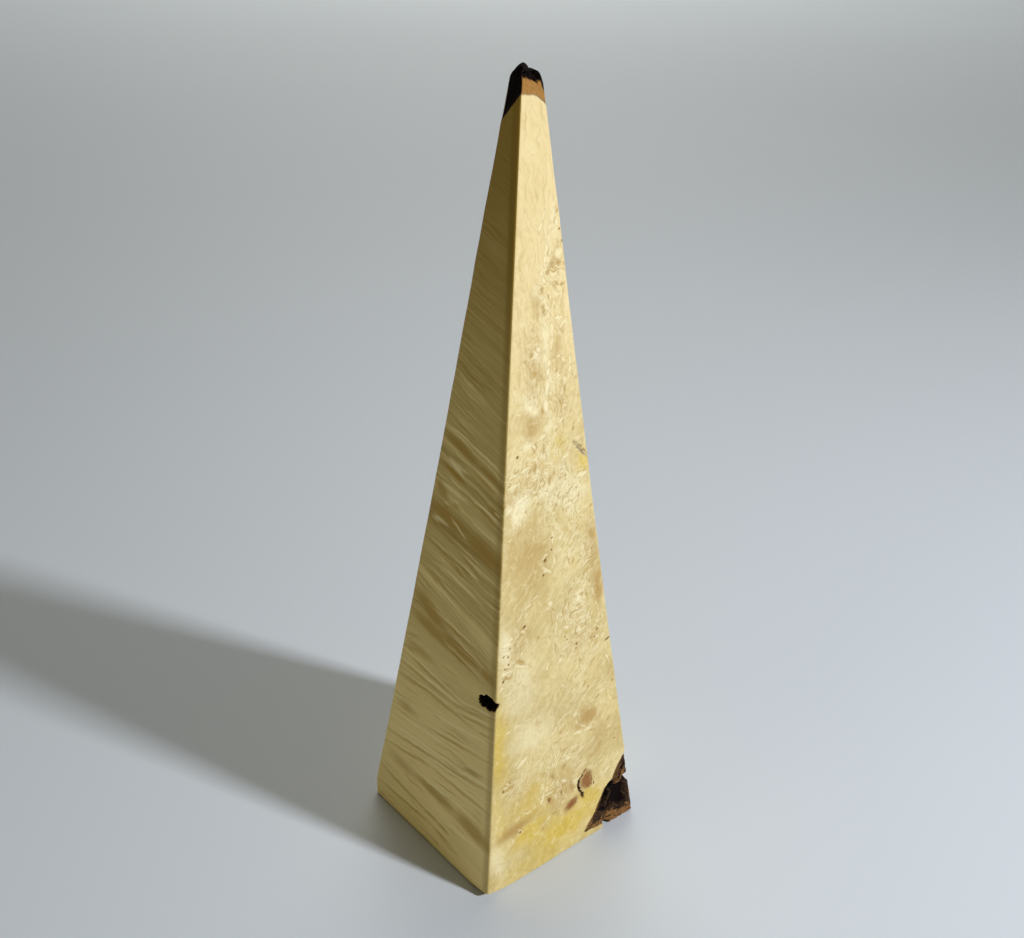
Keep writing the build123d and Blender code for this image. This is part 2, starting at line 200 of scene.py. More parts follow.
# Pale lines of the front's figure: (across, height, half length, half width, tilt)
PALE_LINES = [
    (4.8, 167.2, 1.6, 0.46, 70), (4.0, 164.6, 2.0, 0.46, 75), (3.2, 162.1, 1.5, 0.47, 68),
    (2.5, 159.9, 1.6, 0.47, 73), (1.9, 157.5, 1.6, 0.47, 82), (1.5, 155.2, 1.5, 0.47, 78),
    (0.2, 152.8, 1.0, 0.7, 119), (0.9, 151.3, 1.2, 0.7, 116), (1.6, 165.0, 1.5, 0.51, 68),
    (0.6, 162.7, 1.8, 0.51, 66), (5.4, 156.3, 1.5, 1.73, 21), (4.0, 153.1, 0.7, 0.31, 65),
    (4.6, 153.6, 0.6, 0.31, 2), (5.2, 153.2, 0.6, 0.31, 113), (4.2, 150.9, 1.5, 0.34, 150),
    (5.9, 150.6, 1.0, 0.34, 29), (0.2, 147.5, 0.9, 0.43, 4), (1.2, 147.0, 0.8, 0.43, 118),
    (5.2, 163.0, 1.0, 0.54, 88), (2.8, 140.0, 2.1, 0.84, 87), (2.6, 136.9, 2.0, 0.84, 85),
    (2.0, 143.3, 1.3, 0.59, 112), (4.8, 142.3, 2.0, 0.59, 176), (6.2, 140.8, 2.2, 0.46, 44),
    (-1.3, 136.3, 1.0, 0.7, 125), (-2.7, 134.9, 2.0, 0.53, 21), (4.5, 133.7, 0.8, 0.43, 36),
    (5.9, 132.5, 1.3, 0.47, 136), (1.6, 132.5, 1.4, 0.67, 82), (1.2, 130.6, 1.3, 0.67, 75),
    (7.8, 132.0, 1.7, 0.53, 81), (7.8, 129.8, 1.3, 0.54, 101), (8.8, 128.9, 1.8, 0.4, 106),
    (3.9, 129.1, 2.0, 0.44, 18), (5.9, 127.5, 1.7, 0.47, 81), (5.1, 125.2, 1.5, 0.47, 63),
    (0.8, 127.2, 2.6, 0.97, 85), (0.4, 123.3, 2.6, 0.98, 85), (5.8, 121.7, 1.5, 0.44, 28),
    (-1.7, 127.5, 2.1, 0.44, 76), (-2.8, 125.1, 1.4, 0.44, 47), (-4.6, 123.8, 1.6, 0.47, 27),
    (-2.3, 124.7, 1.5, 0.34, 91), (-4.1, 123.8, 2.1, 0.34, 55), (-7.7, 123.0, 1.4, 0.37, 10),
    (4.7, 118.5, 1.7, 0.48, 27), (2.8, 117.4, 1.2, 0.48, 33), (-1.4, 115.9, 2.0, 0.72, 30),
    (-5.5, 115.9, 0.9, 0.48, 131), (-3.7, 114.4, 1.2, 0.44, 116), (-7.5, 115.2, 0.6, 0.44, 27),
    (1.0, 113.8, 1.6, 0.41, 116), (5.4, 109.4, 2.3, 0.65, 32), (5.3, 106.9, 0.9, 0.69, 70),
    (4.5, 106.1, 0.8, 0.69, 16), (-3.0, 107.7, 1.3, 0.33, 54), (-3.9, 106.3, 0.8, 0.33, 62),
    (-0.3, 108.1, 1.5, 0.39, 14), (-0.6, 107.2, 1.4, 0.39, 141), (-1.9, 104.9, 1.3, 0.69, 40),
    (-4.0, 103.4, 1.0, 0.56, 15), (-2.3, 103.2, 1.3, 0.56, 158), (-0.7, 102.1, 1.4, 0.56, 133),
    (0.6, 99.6, 1.6, 0.43, 99), (4.7, 102.7, 1.9, 0.63, 62), (5.7, 101.9, 2.2, 0.3, 62),
    (10.6, 103.6, 3.0, 0.82, 7), (-10.2, 106.7, 2.6, 0.75, 7), (-6.7, 109.6, 2.4, 0.65, 10),
    (-10.1, 109.1, 2.1, 0.65, 6), (-8.0, 102.8, 3.9, 0.69, 16), (-11.8, 101.2, 1.7, 0.69, 38),
    (3.1, 89.6, 3.1, 0.35, 62), (1.4, 86.5, 1.5, 0.35, 57), (6.9, 88.5, 2.9, 0.32, 56),
    (5.2, 85.5, 1.8, 0.32, 69), (0.7, 90.5, 2.6, 0.54, 81), (-1.8, 86.6, 1.6, 0.54, 34),
    (1.0, 84.6, 2.7, 0.37, 99), (-1.6, 82.8, 2.8, 0.95, 139), (-10.7, 97.2, 1.3, 0.32, 108),
    (-10.8, 95.4, 1.3, 0.32, 64), (-12.0, 94.2, 1.1, 0.32, 29), (1.4, 96.6, 0.8, 0.6, 2),
    (0.3, 109.2, 2.3, 0.42, 157), (5.0, 106.6, 0.9, 0.36, 10), (-3.9, 114.6, 1.5, 0.39, 108),
    (-1.6, 113.8, 1.1, 0.36, 46), (-0.6, 111.3, 1.3, 0.33, 87), (6.0, 95.4, 1.9, 0.3, 50),
    (11.5, 95.4, 2.9, 0.27, 36), (10.2, 99.8, 2.8, 0.27, 33), (-5.4, 77.0, 1.8, 0.47, 29),
    (-7.8, 75.5, 2.0, 0.47, 36), (-10.3, 73.7, 2.0, 0.47, 35), (-11.9, 70.6, 1.6, 0.55, 54),
    (-13.5, 69.2, 1.3, 0.55, 24), (10.9, 77.2, 1.2, 0.58, 62), (9.7, 75.6, 1.4, 0.36, 46),
    (8.4, 73.2, 2.3, 0.36, 69), (11.4, 74.9, 2.3, 0.36, 124), (13.2, 71.5, 2.7, 0.36, 111),
    (14.4, 67.6, 2.6, 0.36, 105), (14.9, 64.6, 1.5, 0.36, 88), (8.4, 71.7, 1.4, 0.99, 50),
    (6.3, 76.0, 1.7, 0.32, 54), (4.3, 70.7, 2.0, 0.32, 66), (3.6, 68.2, 1.4, 0.32, 86),
    (4.6, 70.6, 1.1, 0.29, 60), (4.7, 68.2, 2.3, 0.29, 107), (6.6, 67.5, 1.2, 0.32, 23),
    (9.0, 64.9, 2.5, 0.51, 179), (1.6, 69.5, 1.8, 0.51, 63), (0.7, 66.4, 2.5, 0.51, 79),
    (13.3, 62.0, 1.0, 0.33, 27), (14.6, 61.4, 1.4, 0.33, 126), (14.3, 63.1, 1.2, 0.52, 47),
    (13.9, 58.9, 1.9, 0.29, 154), (15.9, 58.5, 1.0, 0.29, 24), (8.5, 62.2, 1.5, 0.29, 75),
    (6.3, 62.8, 1.3, 0.29, 52), (3.1, 60.0, 1.9, 0.37, 8), (4.0, 65.4, 1.9, 0.66, 163),
    (13.9, 55.9, 2.0, 0.33, 39), (11.6, 53.7, 2.2, 0.33, 45), (9.6, 51.5, 1.6, 0.33, 52),
    (8.4, 56.0, 2.7, 0.33, 91), (8.6, 52.0, 2.6, 0.33, 95), (15.7, 42.7, 3.2, 0.37, 7),
    (5.6, 39.9, 2.2, 0.49, 51), (1.6, 57.2, 1.4, 1.05, 50), (-10.5, 60.7, 4.0, 0.56, 155),
    (-14.6, 60.8, 3.5, 0.44, 172), (-16.1, 60.6, 2.3, 0.33, 173), (-14.4, 57.5, 2.1, 0.41, 177),
    (-17.1, 57.0, 1.6, 0.41, 30), (-15.5, 54.9, 2.5, 0.33, 174), (-14.7, 68.1, 1.9, 0.85, 1),
    (-15.0, 66.0, 2.5, 0.59, 164), (-8.3, 73.5, 1.0, 0.47, 81), (-9.5, 69.4, 1.4, 0.59, 131),
    (17.5, 51.1, 3.7, 0.37, 113), (9.0, 43.6, 2.0, 0.34, 46), (7.3, 41.8, 1.3, 0.34, 44),
    (-2.6, 57.2, 1.8, 0.67, 81), (-0.9, 73.8, 1.3, 0.84, 138), (2.9, 41.1, 3.1, 0.33, 23),
    (-1.0, 38.5, 3.2, 0.33, 43), (1.3, 38.5, 3.1, 0.31, 35), (1.0, 40.5, 2.9, 0.31, 28),
    (-1.9, 38.7, 1.7, 0.31, 40), (2.8, 35.5, 2.4, 0.33, 21), (-12.9, 45.0, 2.5, 0.38, 6),
    (-16.0, 44.5, 1.7, 0.38, 13), (-9.2, 45.2, 2.4, 0.35, 0), (6.1, 39.6, 1.7, 0.36, 73),
    (6.3, 37.3, 1.6, 0.36, 119), (8.4, 35.3, 2.3, 0.36, 147), (11.3, 34.7, 2.0, 0.33, 15),
    (13.6, 36.5, 2.1, 0.33, 58), (6.5, 34.0, 2.7, 0.83, 171), (10.2, 33.7, 2.2, 0.83, 179),
    (-12.1, 34.1, 3.2, 1.14, 31), (-0.9, 20.3, 1.3, 0.42, 46), (-1.8, 18.6, 1.4, 0.42, 75),
    (-4.1, 24.5, 1.4, 0.47, 47), (-4.6, 22.5, 1.8, 0.47, 98), (1.3, 21.9, 2.0, 0.42, 145),
    (-4.0, 27.0, 1.3, 0.52, 93), (1.6, 17.2, 1.2, 0.42, 76), (0.6, 15.9, 1.1, 0.42, 29),
    (-6.0, 23.8, 1.8, 0.58, 105), (-6.2, 20.4, 2.8, 0.58, 76), (-11.3, 18.8, 2.6, 0.45, 167),
    (-14.4, 18.6, 1.7, 0.45, 27), (-4.7, 13.5, 1.6, 0.4, 36), (-6.9, 12.4, 1.7, 0.4, 19),
    (15.8, 17.9, 3.6, 0.34, 23), (12.0, 15.7, 2.2, 0.34, 41), (-16.5, 12.9, 1.7, 0.4, 106),
    (-2.7, 22.9, 1.3, 0.42, 30), (15.4, 35.0, 2.7, 0.36, 56), (17.8, 31.2, 2.8, 0.36, 30),
    (7.7, 28.8, 3.3, 0.36, 16), (4.0, 27.8, 1.8, 0.36, 13), (5.0, 30.5, 2.8, 0.36, 2),
    (2.1, 28.2, 2.6, 0.47, 5), (-13.8, 14.5, 1.8, 0.48, 137)
]
# Tan lines of the front's figure, given in the same way
TAN_LINES = [
    (10.1, 37.5, 4.4, 3.2, 0), (-15.8, 16.1, 9.5, 2.4, 9), (3.0, 13.5, 4.8, 2.6, 18),
    (-4.0, 18.7, 1.6, 1.9, 30), (8.6, 18.5, 5.0, 4.0, 70), (2.3, 152.9, 1.3, 0.97, 80),
    (3.4, 154.3, 1.3, 0.96, 27), (5.3, 154.3, 1.5, 0.96, 158), (7.0, 153.9, 1.2, 0.43, 66),
    (4.4, 149.9, 1.6, 0.64, 146), (6.3, 149.5, 1.2, 0.64, 18), (4.1, 152.7, 0.7, 0.28, 105),
    (4.4, 153.3, 0.6, 0.28, 8), (5.3, 152.3, 1.0, 0.28, 72), (5.2, 165.5, 1.4, 0.3, 62),
    (4.5, 163.6, 1.2, 0.3, 74), (2.5, 157.1, 1.8, 0.28, 77), (0.3, 149.2, 1.4, 0.76, 87),
    (2.0, 147.6, 0.9, 0.34, 82), (0.5, 145.4, 0.9, 0.94, 55), (-0.9, 122.2, 3.0, 0.51, 85),
    (0.6, 144.7, 2.1, 0.85, 96), (3.7, 130.5, 1.1, 0.57, 76), (6.1, 126.1, 1.5, 0.5, 77),
    (8.6, 128.9, 1.2, 0.4, 99), (8.2, 115.8, 1.8, 0.48, 74), (-3.3, 135.7, 0.8, 0.7, 83),
    (-4.3, 125.7, 0.6, 0.37, 123), (-3.0, 125.6, 0.4, 0.34, 108), (-0.1, 126.7, 1.9, 0.3, 70),
    (4.7, 122.7, 1.4, 0.37, 92), (-3.1, 114.4, 1.4, 0.48, 95), (-1.0, 114.0, 1.3, 0.41, 70),
    (3.2, 116.3, 1.1, 0.34, 87), (2.0, 98.2, 1.6, 0.53, 57), (3.0, 100.8, 1.3, 0.26, 43),
    (1.9, 100.9, 0.7, 0.26, 80), (4.3, 99.1, 1.7, 0.3, 60), (4.4, 96.5, 1.0, 0.4, 109),
    (5.3, 95.8, 0.6, 0.3, 88), (2.1, 94.6, 0.9, 0.5, 105), (5.7, 100.0, 2.0, 0.28, 40),
    (7.0, 101.2, 1.7, 0.28, 38), (13.2, 94.7, 1.4, 0.37, 32), (5.2, 85.3, 1.3, 0.32, 81),
    (5.5, 82.9, 1.9, 0.32, 107), (6.8, 82.3, 1.7, 0.34, 53), (8.6, 81.6, 1.5, 0.29, 37),
    (9.4, 82.7, 0.9, 0.27, 151), (-3.7, 109.2, 2.1, 0.81, 80), (5.3, 105.0, 0.5, 0.59, 34),
    (1.9, 106.4, 0.8, 0.49, 74), (-11.1, 107.7, 0.6, 0.36, 176), (-11.4, 107.1, 0.4, 0.33, 1),
    (6.1, 98.3, 0.6, 0.27, 50), (-3.8, 113.8, 1.5, 0.52, 116), (-1.0, 112.5, 1.2, 0.33, 79),
    (0.5, 104.8, 1.7, 0.59, 68), (5.6, 74.7, 2.1, 0.43, 61), (3.8, 71.9, 2.3, 0.43, 55),
    (4.1, 70.2, 2.7, 0.36, 50), (10.8, 72.1, 2.2, 0.43, 99), (8.0, 70.0, 1.5, 0.51, 5),
    (5.5, 68.3, 1.3, 0.4, 69), (14.7, 73.0, 4.2, 0.66, 100), (6.9, 62.6, 1.7, 0.52, 117),
    (8.6, 61.5, 1.0, 0.4, 75), (3.9, 64.2, 0.7, 0.48, 158), (12.1, 52.6, 2.4, 0.41, 44),
    (8.0, 54.4, 2.1, 0.37, 88), (9.3, 47.4, 1.5, 0.49, 67), (10.3, 45.9, 0.9, 0.37, 73),
    (19.7, 38.2, 1.9, 0.28, 6), (13.5, 41.6, 1.6, 0.53, 8), (-9.0, 70.7, 0.6, 0.55, 127),
    (-7.1, 75.1, 1.8, 0.32, 38), (-13.7, 66.7, 0.7, 0.36, 50), (-12.3, 67.2, 0.6, 0.32, 9),
    (-11.0, 62.1, 2.6, 0.97, 153), (-14.9, 61.7, 1.4, 0.33, 176), (-15.3, 59.4, 2.5, 0.59, 156),
    (16.5, 53.7, 0.7, 0.33, 22), (16.9, 52.5, 0.8, 0.33, 22), (17.3, 51.3, 0.9, 0.33, 16),
    (17.7, 50.1, 0.8, 0.33, 21), (18.8, 48.0, 0.9, 0.33, 32), (0.3, 60.7, 2.6, 0.33, 98),
    (-5.1, 66.2, 0.8, 0.93, 119), (0.1, 71.7, 1.4, 0.55, 146), (2.2, 41.1, 2.9, 0.28, 23),
    (-1.2, 39.1, 2.3, 0.28, 43), (1.4, 37.3, 2.7, 0.28, 32), (-0.4, 34.8, 2.3, 0.31, 15),
    (-2.5, 25.1, 2.2, 0.95, 117), (1.2, 26.3, 1.6, 1.05, 36), (0.1, 18.9, 0.8, 0.58, 79),
    (3.6, 19.1, 3.0, 1.44, 104), (-6.7, 11.3, 1.6, 0.53, 41), (-2.3, 14.0, 2.3, 0.64, 165),
    (-18.6, 30.2, 1.5, 0.41, 60), (-16.1, 30.9, 2.6, 0.41, 173), (-16.3, 28.9, 2.6, 0.41, 12),
    (17.1, 33.4, 1.4, 0.41, 49), (20.1, 33.0, 1.2, 0.41, 57), (20.1, 28.8, 1.1, 0.47, 14),
    (12.3, 32.1, 0.8, 0.41, 28), (12.2, 38.1, 1.7, 0.56, 178), (11.1, 32.6, 1.8, 0.41, 158),
    (19.1, 26.3, 0.3, 0.52, 133), (-1.5, 12.9, 1.1, 0.53, 1), (5.8, 29.4, 2.9, 0.34, 11)
]
# Dark checks in the front side, given in the same way
SLASHES = [
    (17.6, 56.8, 1.5, 0.39, 18), (8.4, 21.5, 1.0, 0.47, 37), (7.4, 20.4, 1.0, 0.47, 57),
    (5.9, 18.4, 1.2, 0.5, 86), (6.2, 16.5, 1.4, 0.5, 108), (7.1, 14.4, 1.7, 0.64, 121),
    (11.4, 16.2, 0.8, 0.34, 96), (9.8, 19.8, 1.5, 0.26, 66), (10.6, 18.2, 1.2, 0.24, 100),
    (8.8, 16.5, 1.2, 0.26, 40)
]
# Red-brown stains round the knot, given in the same way
STAINS = [
    (8.8, 18.7, 3.4, 2.5, 60), (9.6, 17.2, 2.4, 2.0, 100), (3.5, 13.9, 3.2, 1.7, 28),
    (-4.1, 18.8, 0.8, 1.0, 30), (0.1, 18.9, 0.8, 0.53, 83)
]
# Dark rim of the gouge, given in the same way
GOUGE_RIM = [
    (8.7, 112.1, 1.2, 0.25, 154), (10.2, 110.9, 1.4, 0.25, 134), (8.4, 111.7, 1.1, 0.23, 125),
    (9.4, 110.4, 1.2, 0.23, 127), (11.0, 108.7, 1.9, 0.23, 135), (11.6, 109.2, 1.5, 0.23, 120),
    (10.8, 109.3, 0.6, 0.49, 123)
]
# Worn brown ridges of the bark on the front side, given in the same way
BARK_RIDGES = [
    (22.1, 13.5, 2.4, 0.91, 51), (20.3, 11.4, 1.2, 0.91, 49), (18.4, 15.9, 2.0, 0.96, 63),
    (12.8, 9.8, 2.1, 0.86, 63), (11.3, 7.1, 1.9, 0.87, 59), (9.7, 4.8, 1.9, 0.87, 51),
    (15.2, 9.9, 1.4, 0.45, 69), (14.6, 7.7, 1.5, 0.46, 83), (17.3, 7.0, 1.7, 0.48, 55),
    (20.5, 4.9, 2.2, 0.49, 5), (24.5, 6.0, 3.1, 0.48, 93), (16.5, 3.2, 1.8, 1.04, 177),
    (19.1, 2.9, 1.7, 1.04, 169), (18.7, 0.7, 2.6, 1.2, 164), (22.6, 0.5, 2.7, 1.2, 10),
    (14.4, 3.6, 1.2, 0.43, 37), (14.0, 2.4, 1.0, 0.43, 115), (9.9, 3.8, 1.8, 1.04, 50),
    (22.2, 7.0, 1.7, 0.43, 136), (20.1, 6.9, 1.0, 0.37, 70), (23.7, 3.1, 1.0, 0.49, 166)
]
# Black cracks of the bark on the front side, given in the same way
BARK_CRACKS = [
    (22.4, 15.6, 1.6, 0.45, 52), (21.0, 13.3, 2.1, 0.45, 65), (18.2, 11.8, 2.1, 1.08, 47),
    (16.2, 9.6, 1.9, 1.08, 49), (14.2, 7.3, 2.1, 1.09, 47), (14.9, 5.7, 2.2, 0.87, 169),
    (21.2, 8.9, 2.8, 1.03, 125), (16.7, 2.5, 1.7, 0.35, 162), (22.8, 11.3, 1.6, 0.48, 139),
    (18.7, 8.4, 2.7, 0.65, 108), (19.7, 3.4, 2.6, 0.43, 162), (9.1, 2.2, 2.1, 0.32, 168),
    (22.4, 5.3, 2.0, 0.38, 139)
]
# Dark bands of the left side: (away from the front, height, half length, half width, tilt)
LAYER_BANDS = [
    (3.8, 110.6, 10.8, 1.65, 14), (-6.9, 107.9, 6.6, 1.18, 14), (5.6, 103.7, 6.6, 1.62, 13),
    (9.6, 97.8, 4.4, 2.22, 28), (5.9, 91.9, 11.8, 2.61, 8), (-7.6, 89.4, 10.1, 3.44, 13),
    (9.5, 65.6, 9.5, 3.5, 24), (-9.8, 99.9, 3.4, 1.84, 11), (7.7, 60.5, 12.2, 2.73, 9),
    (-3.6, 59.0, 6.2, 1.74, 5), (-2.7, 60.9, 14.7, 2.1, 2), (-14.3, 59.6, 4.5, 2.31, 18),
    (-1.1, 16.2, 13.2, 2.1, 1), (-16.2, 15.5, 10.7, 3.31, 5)
]
# Fine dark lines of the left side, given in the same way
LAYER_LINES = [
    (3.9, 103.7, 4.4, 0.43, 19), (4.3, 107.4, 5.3, 0.41, 11), (1.7, 104.6, 2.7, 0.48, 13),
    (3.8, 96.1, 1.9, 0.66, 6), (7.4, 94.2, 1.6, 0.64, 12), (-8.1, 98.0, 6.0, 0.42, 15),
    (10.8, 88.6, 2.4, 0.58, 11), (-0.2, 81.9, 8.2, 0.51, 12), (0.4, 80.7, 3.3, 0.62, 18),
    (8.0, 75.2, 4.9, 0.54, 12), (-4.4, 83.5, 7.0, 0.51, 15), (11.3, 52.6, 8.7, 1.4, 1),
    (-6.9, 60.9, 11.6, 0.46, 10), (-7.2, 59.9, 8.5, 0.45, 6), (-5.3, 57.8, 11.2, 0.46, 9),
    (6.4, 47.9, 19.8, 0.48, 5), (-12.2, 48.1, 10.5, 0.39, -13), (8.4, 45.3, 17.1, 0.46, 1),
    (-10.0, 46.7, 13.0, 0.4, -12), (7.7, 42.7, 18.9, 0.45, -4), (-11.5, 45.0, 11.8, 0.4, -13),
    (8.7, 24.5, 20.1, 0.45, -9), (-12.3, 28.2, 13.9, 0.43, -11), (11.6, 20.7, 16.4, 0.45, -11),
    (-9.9, 23.2, 18.6, 0.47, -3), (13.0, 9.4, 15.9, 0.55, 5), (0.5, 8.6, 4.7, 0.49, -3),
    (-5.4, 8.4, 3.7, 0.42, 7), (14.5, 33.7, 6.9, 1.33, -1), (13.7, 16.1, 9.9, 1.47, 3),
    (-13.3, 31.1, 6.1, 0.88, -16), (10.5, 5.6, 18.9, 0.46, -3), (-5.4, 5.7, 6.7, 0.48, 5),
    (-5.4, 34.9, 18.2, 0.38, -11), (-0.3, 42.8, 20.8, 0.36, -1), (-16.0, 43.6, 4.6, 0.32, -13),
    (5.4, 103.5, 10.5, 0.35, 14), (-5.6, 105.6, 8.8, 0.34, 14), (-3.8, 98.8, 11.0, 0.38, 11),
    (5.6, 82.3, 11.0, 0.4, 9), (-2.6, 85.4, 12.8, 0.36, 10), (6.5, 74.1, 11.1, 0.39, 13),
    (-1.1, 64.4, 14.5, 0.45, 6)
]
# Light lines of the left side, given in the same way
LAYER_LIGHTS = [
    (4.7, 113.7, 5.9, 0.47, 8), (4.8, 105.5, 5.1, 1.47, 16), (5.2, 99.2, 7.6, 0.77, 9),
    (4.4, 101.2, 4.0, 0.38, 16), (2.0, 90.8, 4.9, 0.49, 27), (-7.4, 93.8, 6.9, 0.36, 9),
    (-10.8, 99.9, 1.8, 0.43, 13), (8.9, 90.1, 4.2, 0.77, 5), (-4.7, 82.0, 3.8, 0.59, 11),
    (2.6, 71.8, 8.7, 0.43, 21), (-11.7, 11.1, 13.6, 0.5, -5), (3.5, 46.4, 19.2, 0.48, 0),
    (-12.9, 48.3, 8.3, 0.39, -21), (-0.1, 25.4, 24.8, 0.47, -8), (7.7, 26.9, 23.9, 0.57, -7),
    (-13.5, 29.8, 10.2, 0.54, -9), (-3.0, 18.3, 18.0, 0.69, -4), (-5.5, 39.8, 16.6, 0.69, -11),
    (-3.6, 111.8, 10.2, 0.54, 12), (-6.9, 99.2, 8.2, 0.48, 9), (-1.2, 77.5, 12.3, 0.61, 10),
    (-6.0, 84.6, 10.5, 0.52, 11), (6.7, 31.1, 17.8, 0.56, -7)
]
# Pin knots of the front side: (across, height, radius)
PINS = [
    (6.6, 158.9, 0.5), (5.8, 161.5, 0.36), (-8.7, 113.3, 0.54), (0.5, 90.6, 0.36), (0.2, 87.6, 0.4),
    (-1.9, 85.5, 0.68), (-2.6, 81.9, 0.44), (3.4, 63.0, 0.33), (4.0, 62.0, 0.3), (7.1, 59.6, 0.46),
    (6.9, 58.4, 0.33), (8.8, 58.7, 0.28), (13.2, 59.1, 0.4), (14.1, 60.9, 0.48), (-15.8, 65.3, 0.35),
    (-14.5, 64.8, 0.41), (-14.5, 62.8, 0.42), (-15.7, 62.0, 0.35), (-16.4, 58.9, 0.53), (-9.1, 70.7, 0.57),
    (18.9, 44.1, 0.36), (-13.8, 66.8, 0.35), (-18.5, 28.8, 0.45), (-14.0, 14.3, 0.53), (19.1, 26.4, 0.39),
    (-17.7, 30.1, 0.3), (-16.3, 30.3, 0.3)
]

# The camera that took the photograph
CAMERA_PLACE = (-0.16441, -0.19031, 0.23433)
CAMERA_TURN, CAMERA_TILT, CAMERA_ROLL = radians(-40.75), radians(62.42), radians(1.81)
CAMERA_LENS, CAMERA_SENSOR, CAMERA_NEAR = 42.19, 36.0, 0.01


def half_width(base, tip, z):
    """Half of the blank's width at height z: a straight taper, hollowed by FLARE at mid-height."""
    t = z / HEIGHT
    return ((1 - t) * base + t * tip) / 2 - 4 * FLARE * t * (1 - t)


def half_x(z):
    return half_width(BASE_X, TIP_X, z)


def half_y(z):
    return half_width(BASE_Y, TIP_Y, z)


def smooth(low, high, value):
    t = np.clip((value - low) / (high - low), 0, 1)
    return t * t * (3 - 2 * t)


def fbm(points, size, octaves=3, seed=0.0):
    """Fractal noise about zero at each point, with features of the given size in millimetres."""
    shift = Vector((seed, seed * 1.7, -seed * 0.6))
    return np.array([noise.fractal(Vector(p) / size + shift, 1.0, 2.0, octaves) for p in points])


def signed_distance(u, v, outline):
    """Distance from each point to a closed outline, positive inside it."""
    corners = np.array(outline, float)
    nearest = np.full(u.shape, 1e9)
    inside = np.zeros(u.shape, bool)
    for (ax, ay), (bx, by) in zip(corners, np.roll(corners, -1, axis=0)):
        ex, ey = bx - ax, by - ay
        t = np.clip(((u - ax) * ex + (v - ay) * ey) / (ex * ex + ey * ey), 0, 1)
        nearest = np.minimum(nearest, np.hypot(u - ax - t * ex, v - ay - t * ey))
        crosses = (ay > v) != (by > v)
        with np.errstate(divide="ignore", invalid="ignore"):
            inside ^= crosses & (u < ex * (v - ay) / ey + ax)
    return np.where(inside, nearest, -nearest)


def scaled(shares, wide, tall, inset=0.0, z=0.0):
    """Turns an outline's shares of a width and height into millimetres."""
    return [(inset + share_in * wide, z + share_up * tall) for share_in, share_up in shares]


def spaced(steps):
    """Stations through a list of (from, to, step) stretches."""
    stations = []
    for low, high, step in steps:
        count = round((high - low) / step)
        stations += [low + (high - low) * i / count for i in range(count)]
    return np.array(stations + [steps[-1][1]])


def side_stations():
    """Shares across each side, closer together where bark and pocket need it."""
    return {
        FRONT: spaced([(0.0, 0.1, 0.008), (0.1, 0.62, 0.0125), (0.62, 1.0, 0.0068)]),
        RIGHT: spaced([(0.0, 0.28, 0.0075), (0.28, 1.0, 0.032)]),
        BACK: spaced([(0.0, 1.0, 0.033)]),
        LEFT: spaced([(0.0, 0.64, 0.016), (0.64, 1.0, 0.009)]),
    }


def columns():
    """The section's columns as (side, share across, arc angle), anticlockwise from the front arris."""
    made = []
    for side, shares in side_stations().items():
        made += [(side, share, 0.0) for share in shares]
        made += [(side, 1.0, (pi / 2) * i / ARC_STEPS) for i in range(1, ARC_STEPS)]
    return made


def section(cols, z, inset):
    """Points of a rounded rectangle at height z, with their outward normals."""
    side, share, angle = np.array(cols).T
    turn = side * pi / 2
    deep = np.where(side % 2 == 0, half_y(z), half_x(z)) - inset
    wide = np.where(side % 2 == 0, half_x(z), half_y(z)) - inset
    across = (2 * share - 1) * (wide - ARRIS_R) + ARRIS_R * np.sin(angle)
    out = deep - ARRIS_R * (1 - np.cos(angle))
    x = across * np.cos(turn) + out * np.sin(turn)
    y = across * np.sin(turn) - out * np.cos(turn)
    normal = np.stack([np.sin(turn + angle), -np.cos(turn + angle), np.zeros(len(cols))], axis=1)
    return np.stack([x, y, np.broadcast_to(z, x.shape)], axis=1), normal


def tip_height(x, y):
    """Height of the ragged bark end above the foot, at a place in plan."""
    across = x * cos(TIP_FACING) - y * sin(TIP_FACING)
    half_span = (TIP_X * cos(TIP_FACING) + TIP_Y * sin(TIP_FACING)) / 2
    shares, drops = zip(*TIP_OUTLINE)
    return HEIGHT - TIP_RAG * np.interp(across / half_span, shares, drops)


def skin():
    """Rows of points over the worked blank, foot edge to ragged end, with their normals."""
    cols = columns()
    rows = []
    for i in range(FOOT_STEPS + 1):
        angle = (pi / 2) * i / FOOT_STEPS
        rows.append(section(cols, FOOT_R * (1 - cos(angle)), FOOT_R * (1 - sin(angle))))
    for z in spaced(ROW_STEPS)[1:]:
        rows.append(section(cols, z, 0.0))
    rim, _ = section(cols, HEIGHT - TIP_RAG / 2, 0.0)
    ends = tip_height(rim[:, 0], rim[:, 1])
    for i in range(1, TIP_ROWS + 1):
        rows.append(section(cols, TIP_FROM + (ends - TIP_FROM) * i / TIP_ROWS, 0.0))
    points, normals = zip(*rows)
    return np.array(points), np.array(normals)


def bark_outline(edge, run):
    """Closed outline of the bark on one side: its edge, then under the foot and past the arris."""
    last_in = edge[-1][0] * run
    past = [(last_in, -FAR), (-FAR, -FAR), (-FAR, BARK_HIGH)]
    return scaled(edge, run, BARK_HIGH) + past


def foot_lift(x, y):
    """Height of the worn foot under the front arris."""
    run = x + BASE_X / 2 + y + BASE_Y / 2
    return FRONT_WEAR_RISE * np.maximum(1 - run / FRONT_WEAR_RUN, 0) ** FRONT_WEAR_CURVE


def worn(points):
    """Draws the skin back from the two worn corners of the foot."""
    x, y, z = points.T
    lift = foot_lift(x, y)
    z = z + lift * np.maximum(1 - z / FRONT_WEAR_REACH, 0)
    share = 1 - (x + BASE_X / 2) / LEFT_WEAR_ACROSS - z / LEFT_WEAR_RISE
    back = LEFT_WEAR_RUN * np.maximum(share, 0)
    y = y - back * np.maximum(1 - (BASE_Y / 2 - y) / LEFT_WEAR_REACH, 0)
    return np.stack([x, y, z], axis=1)


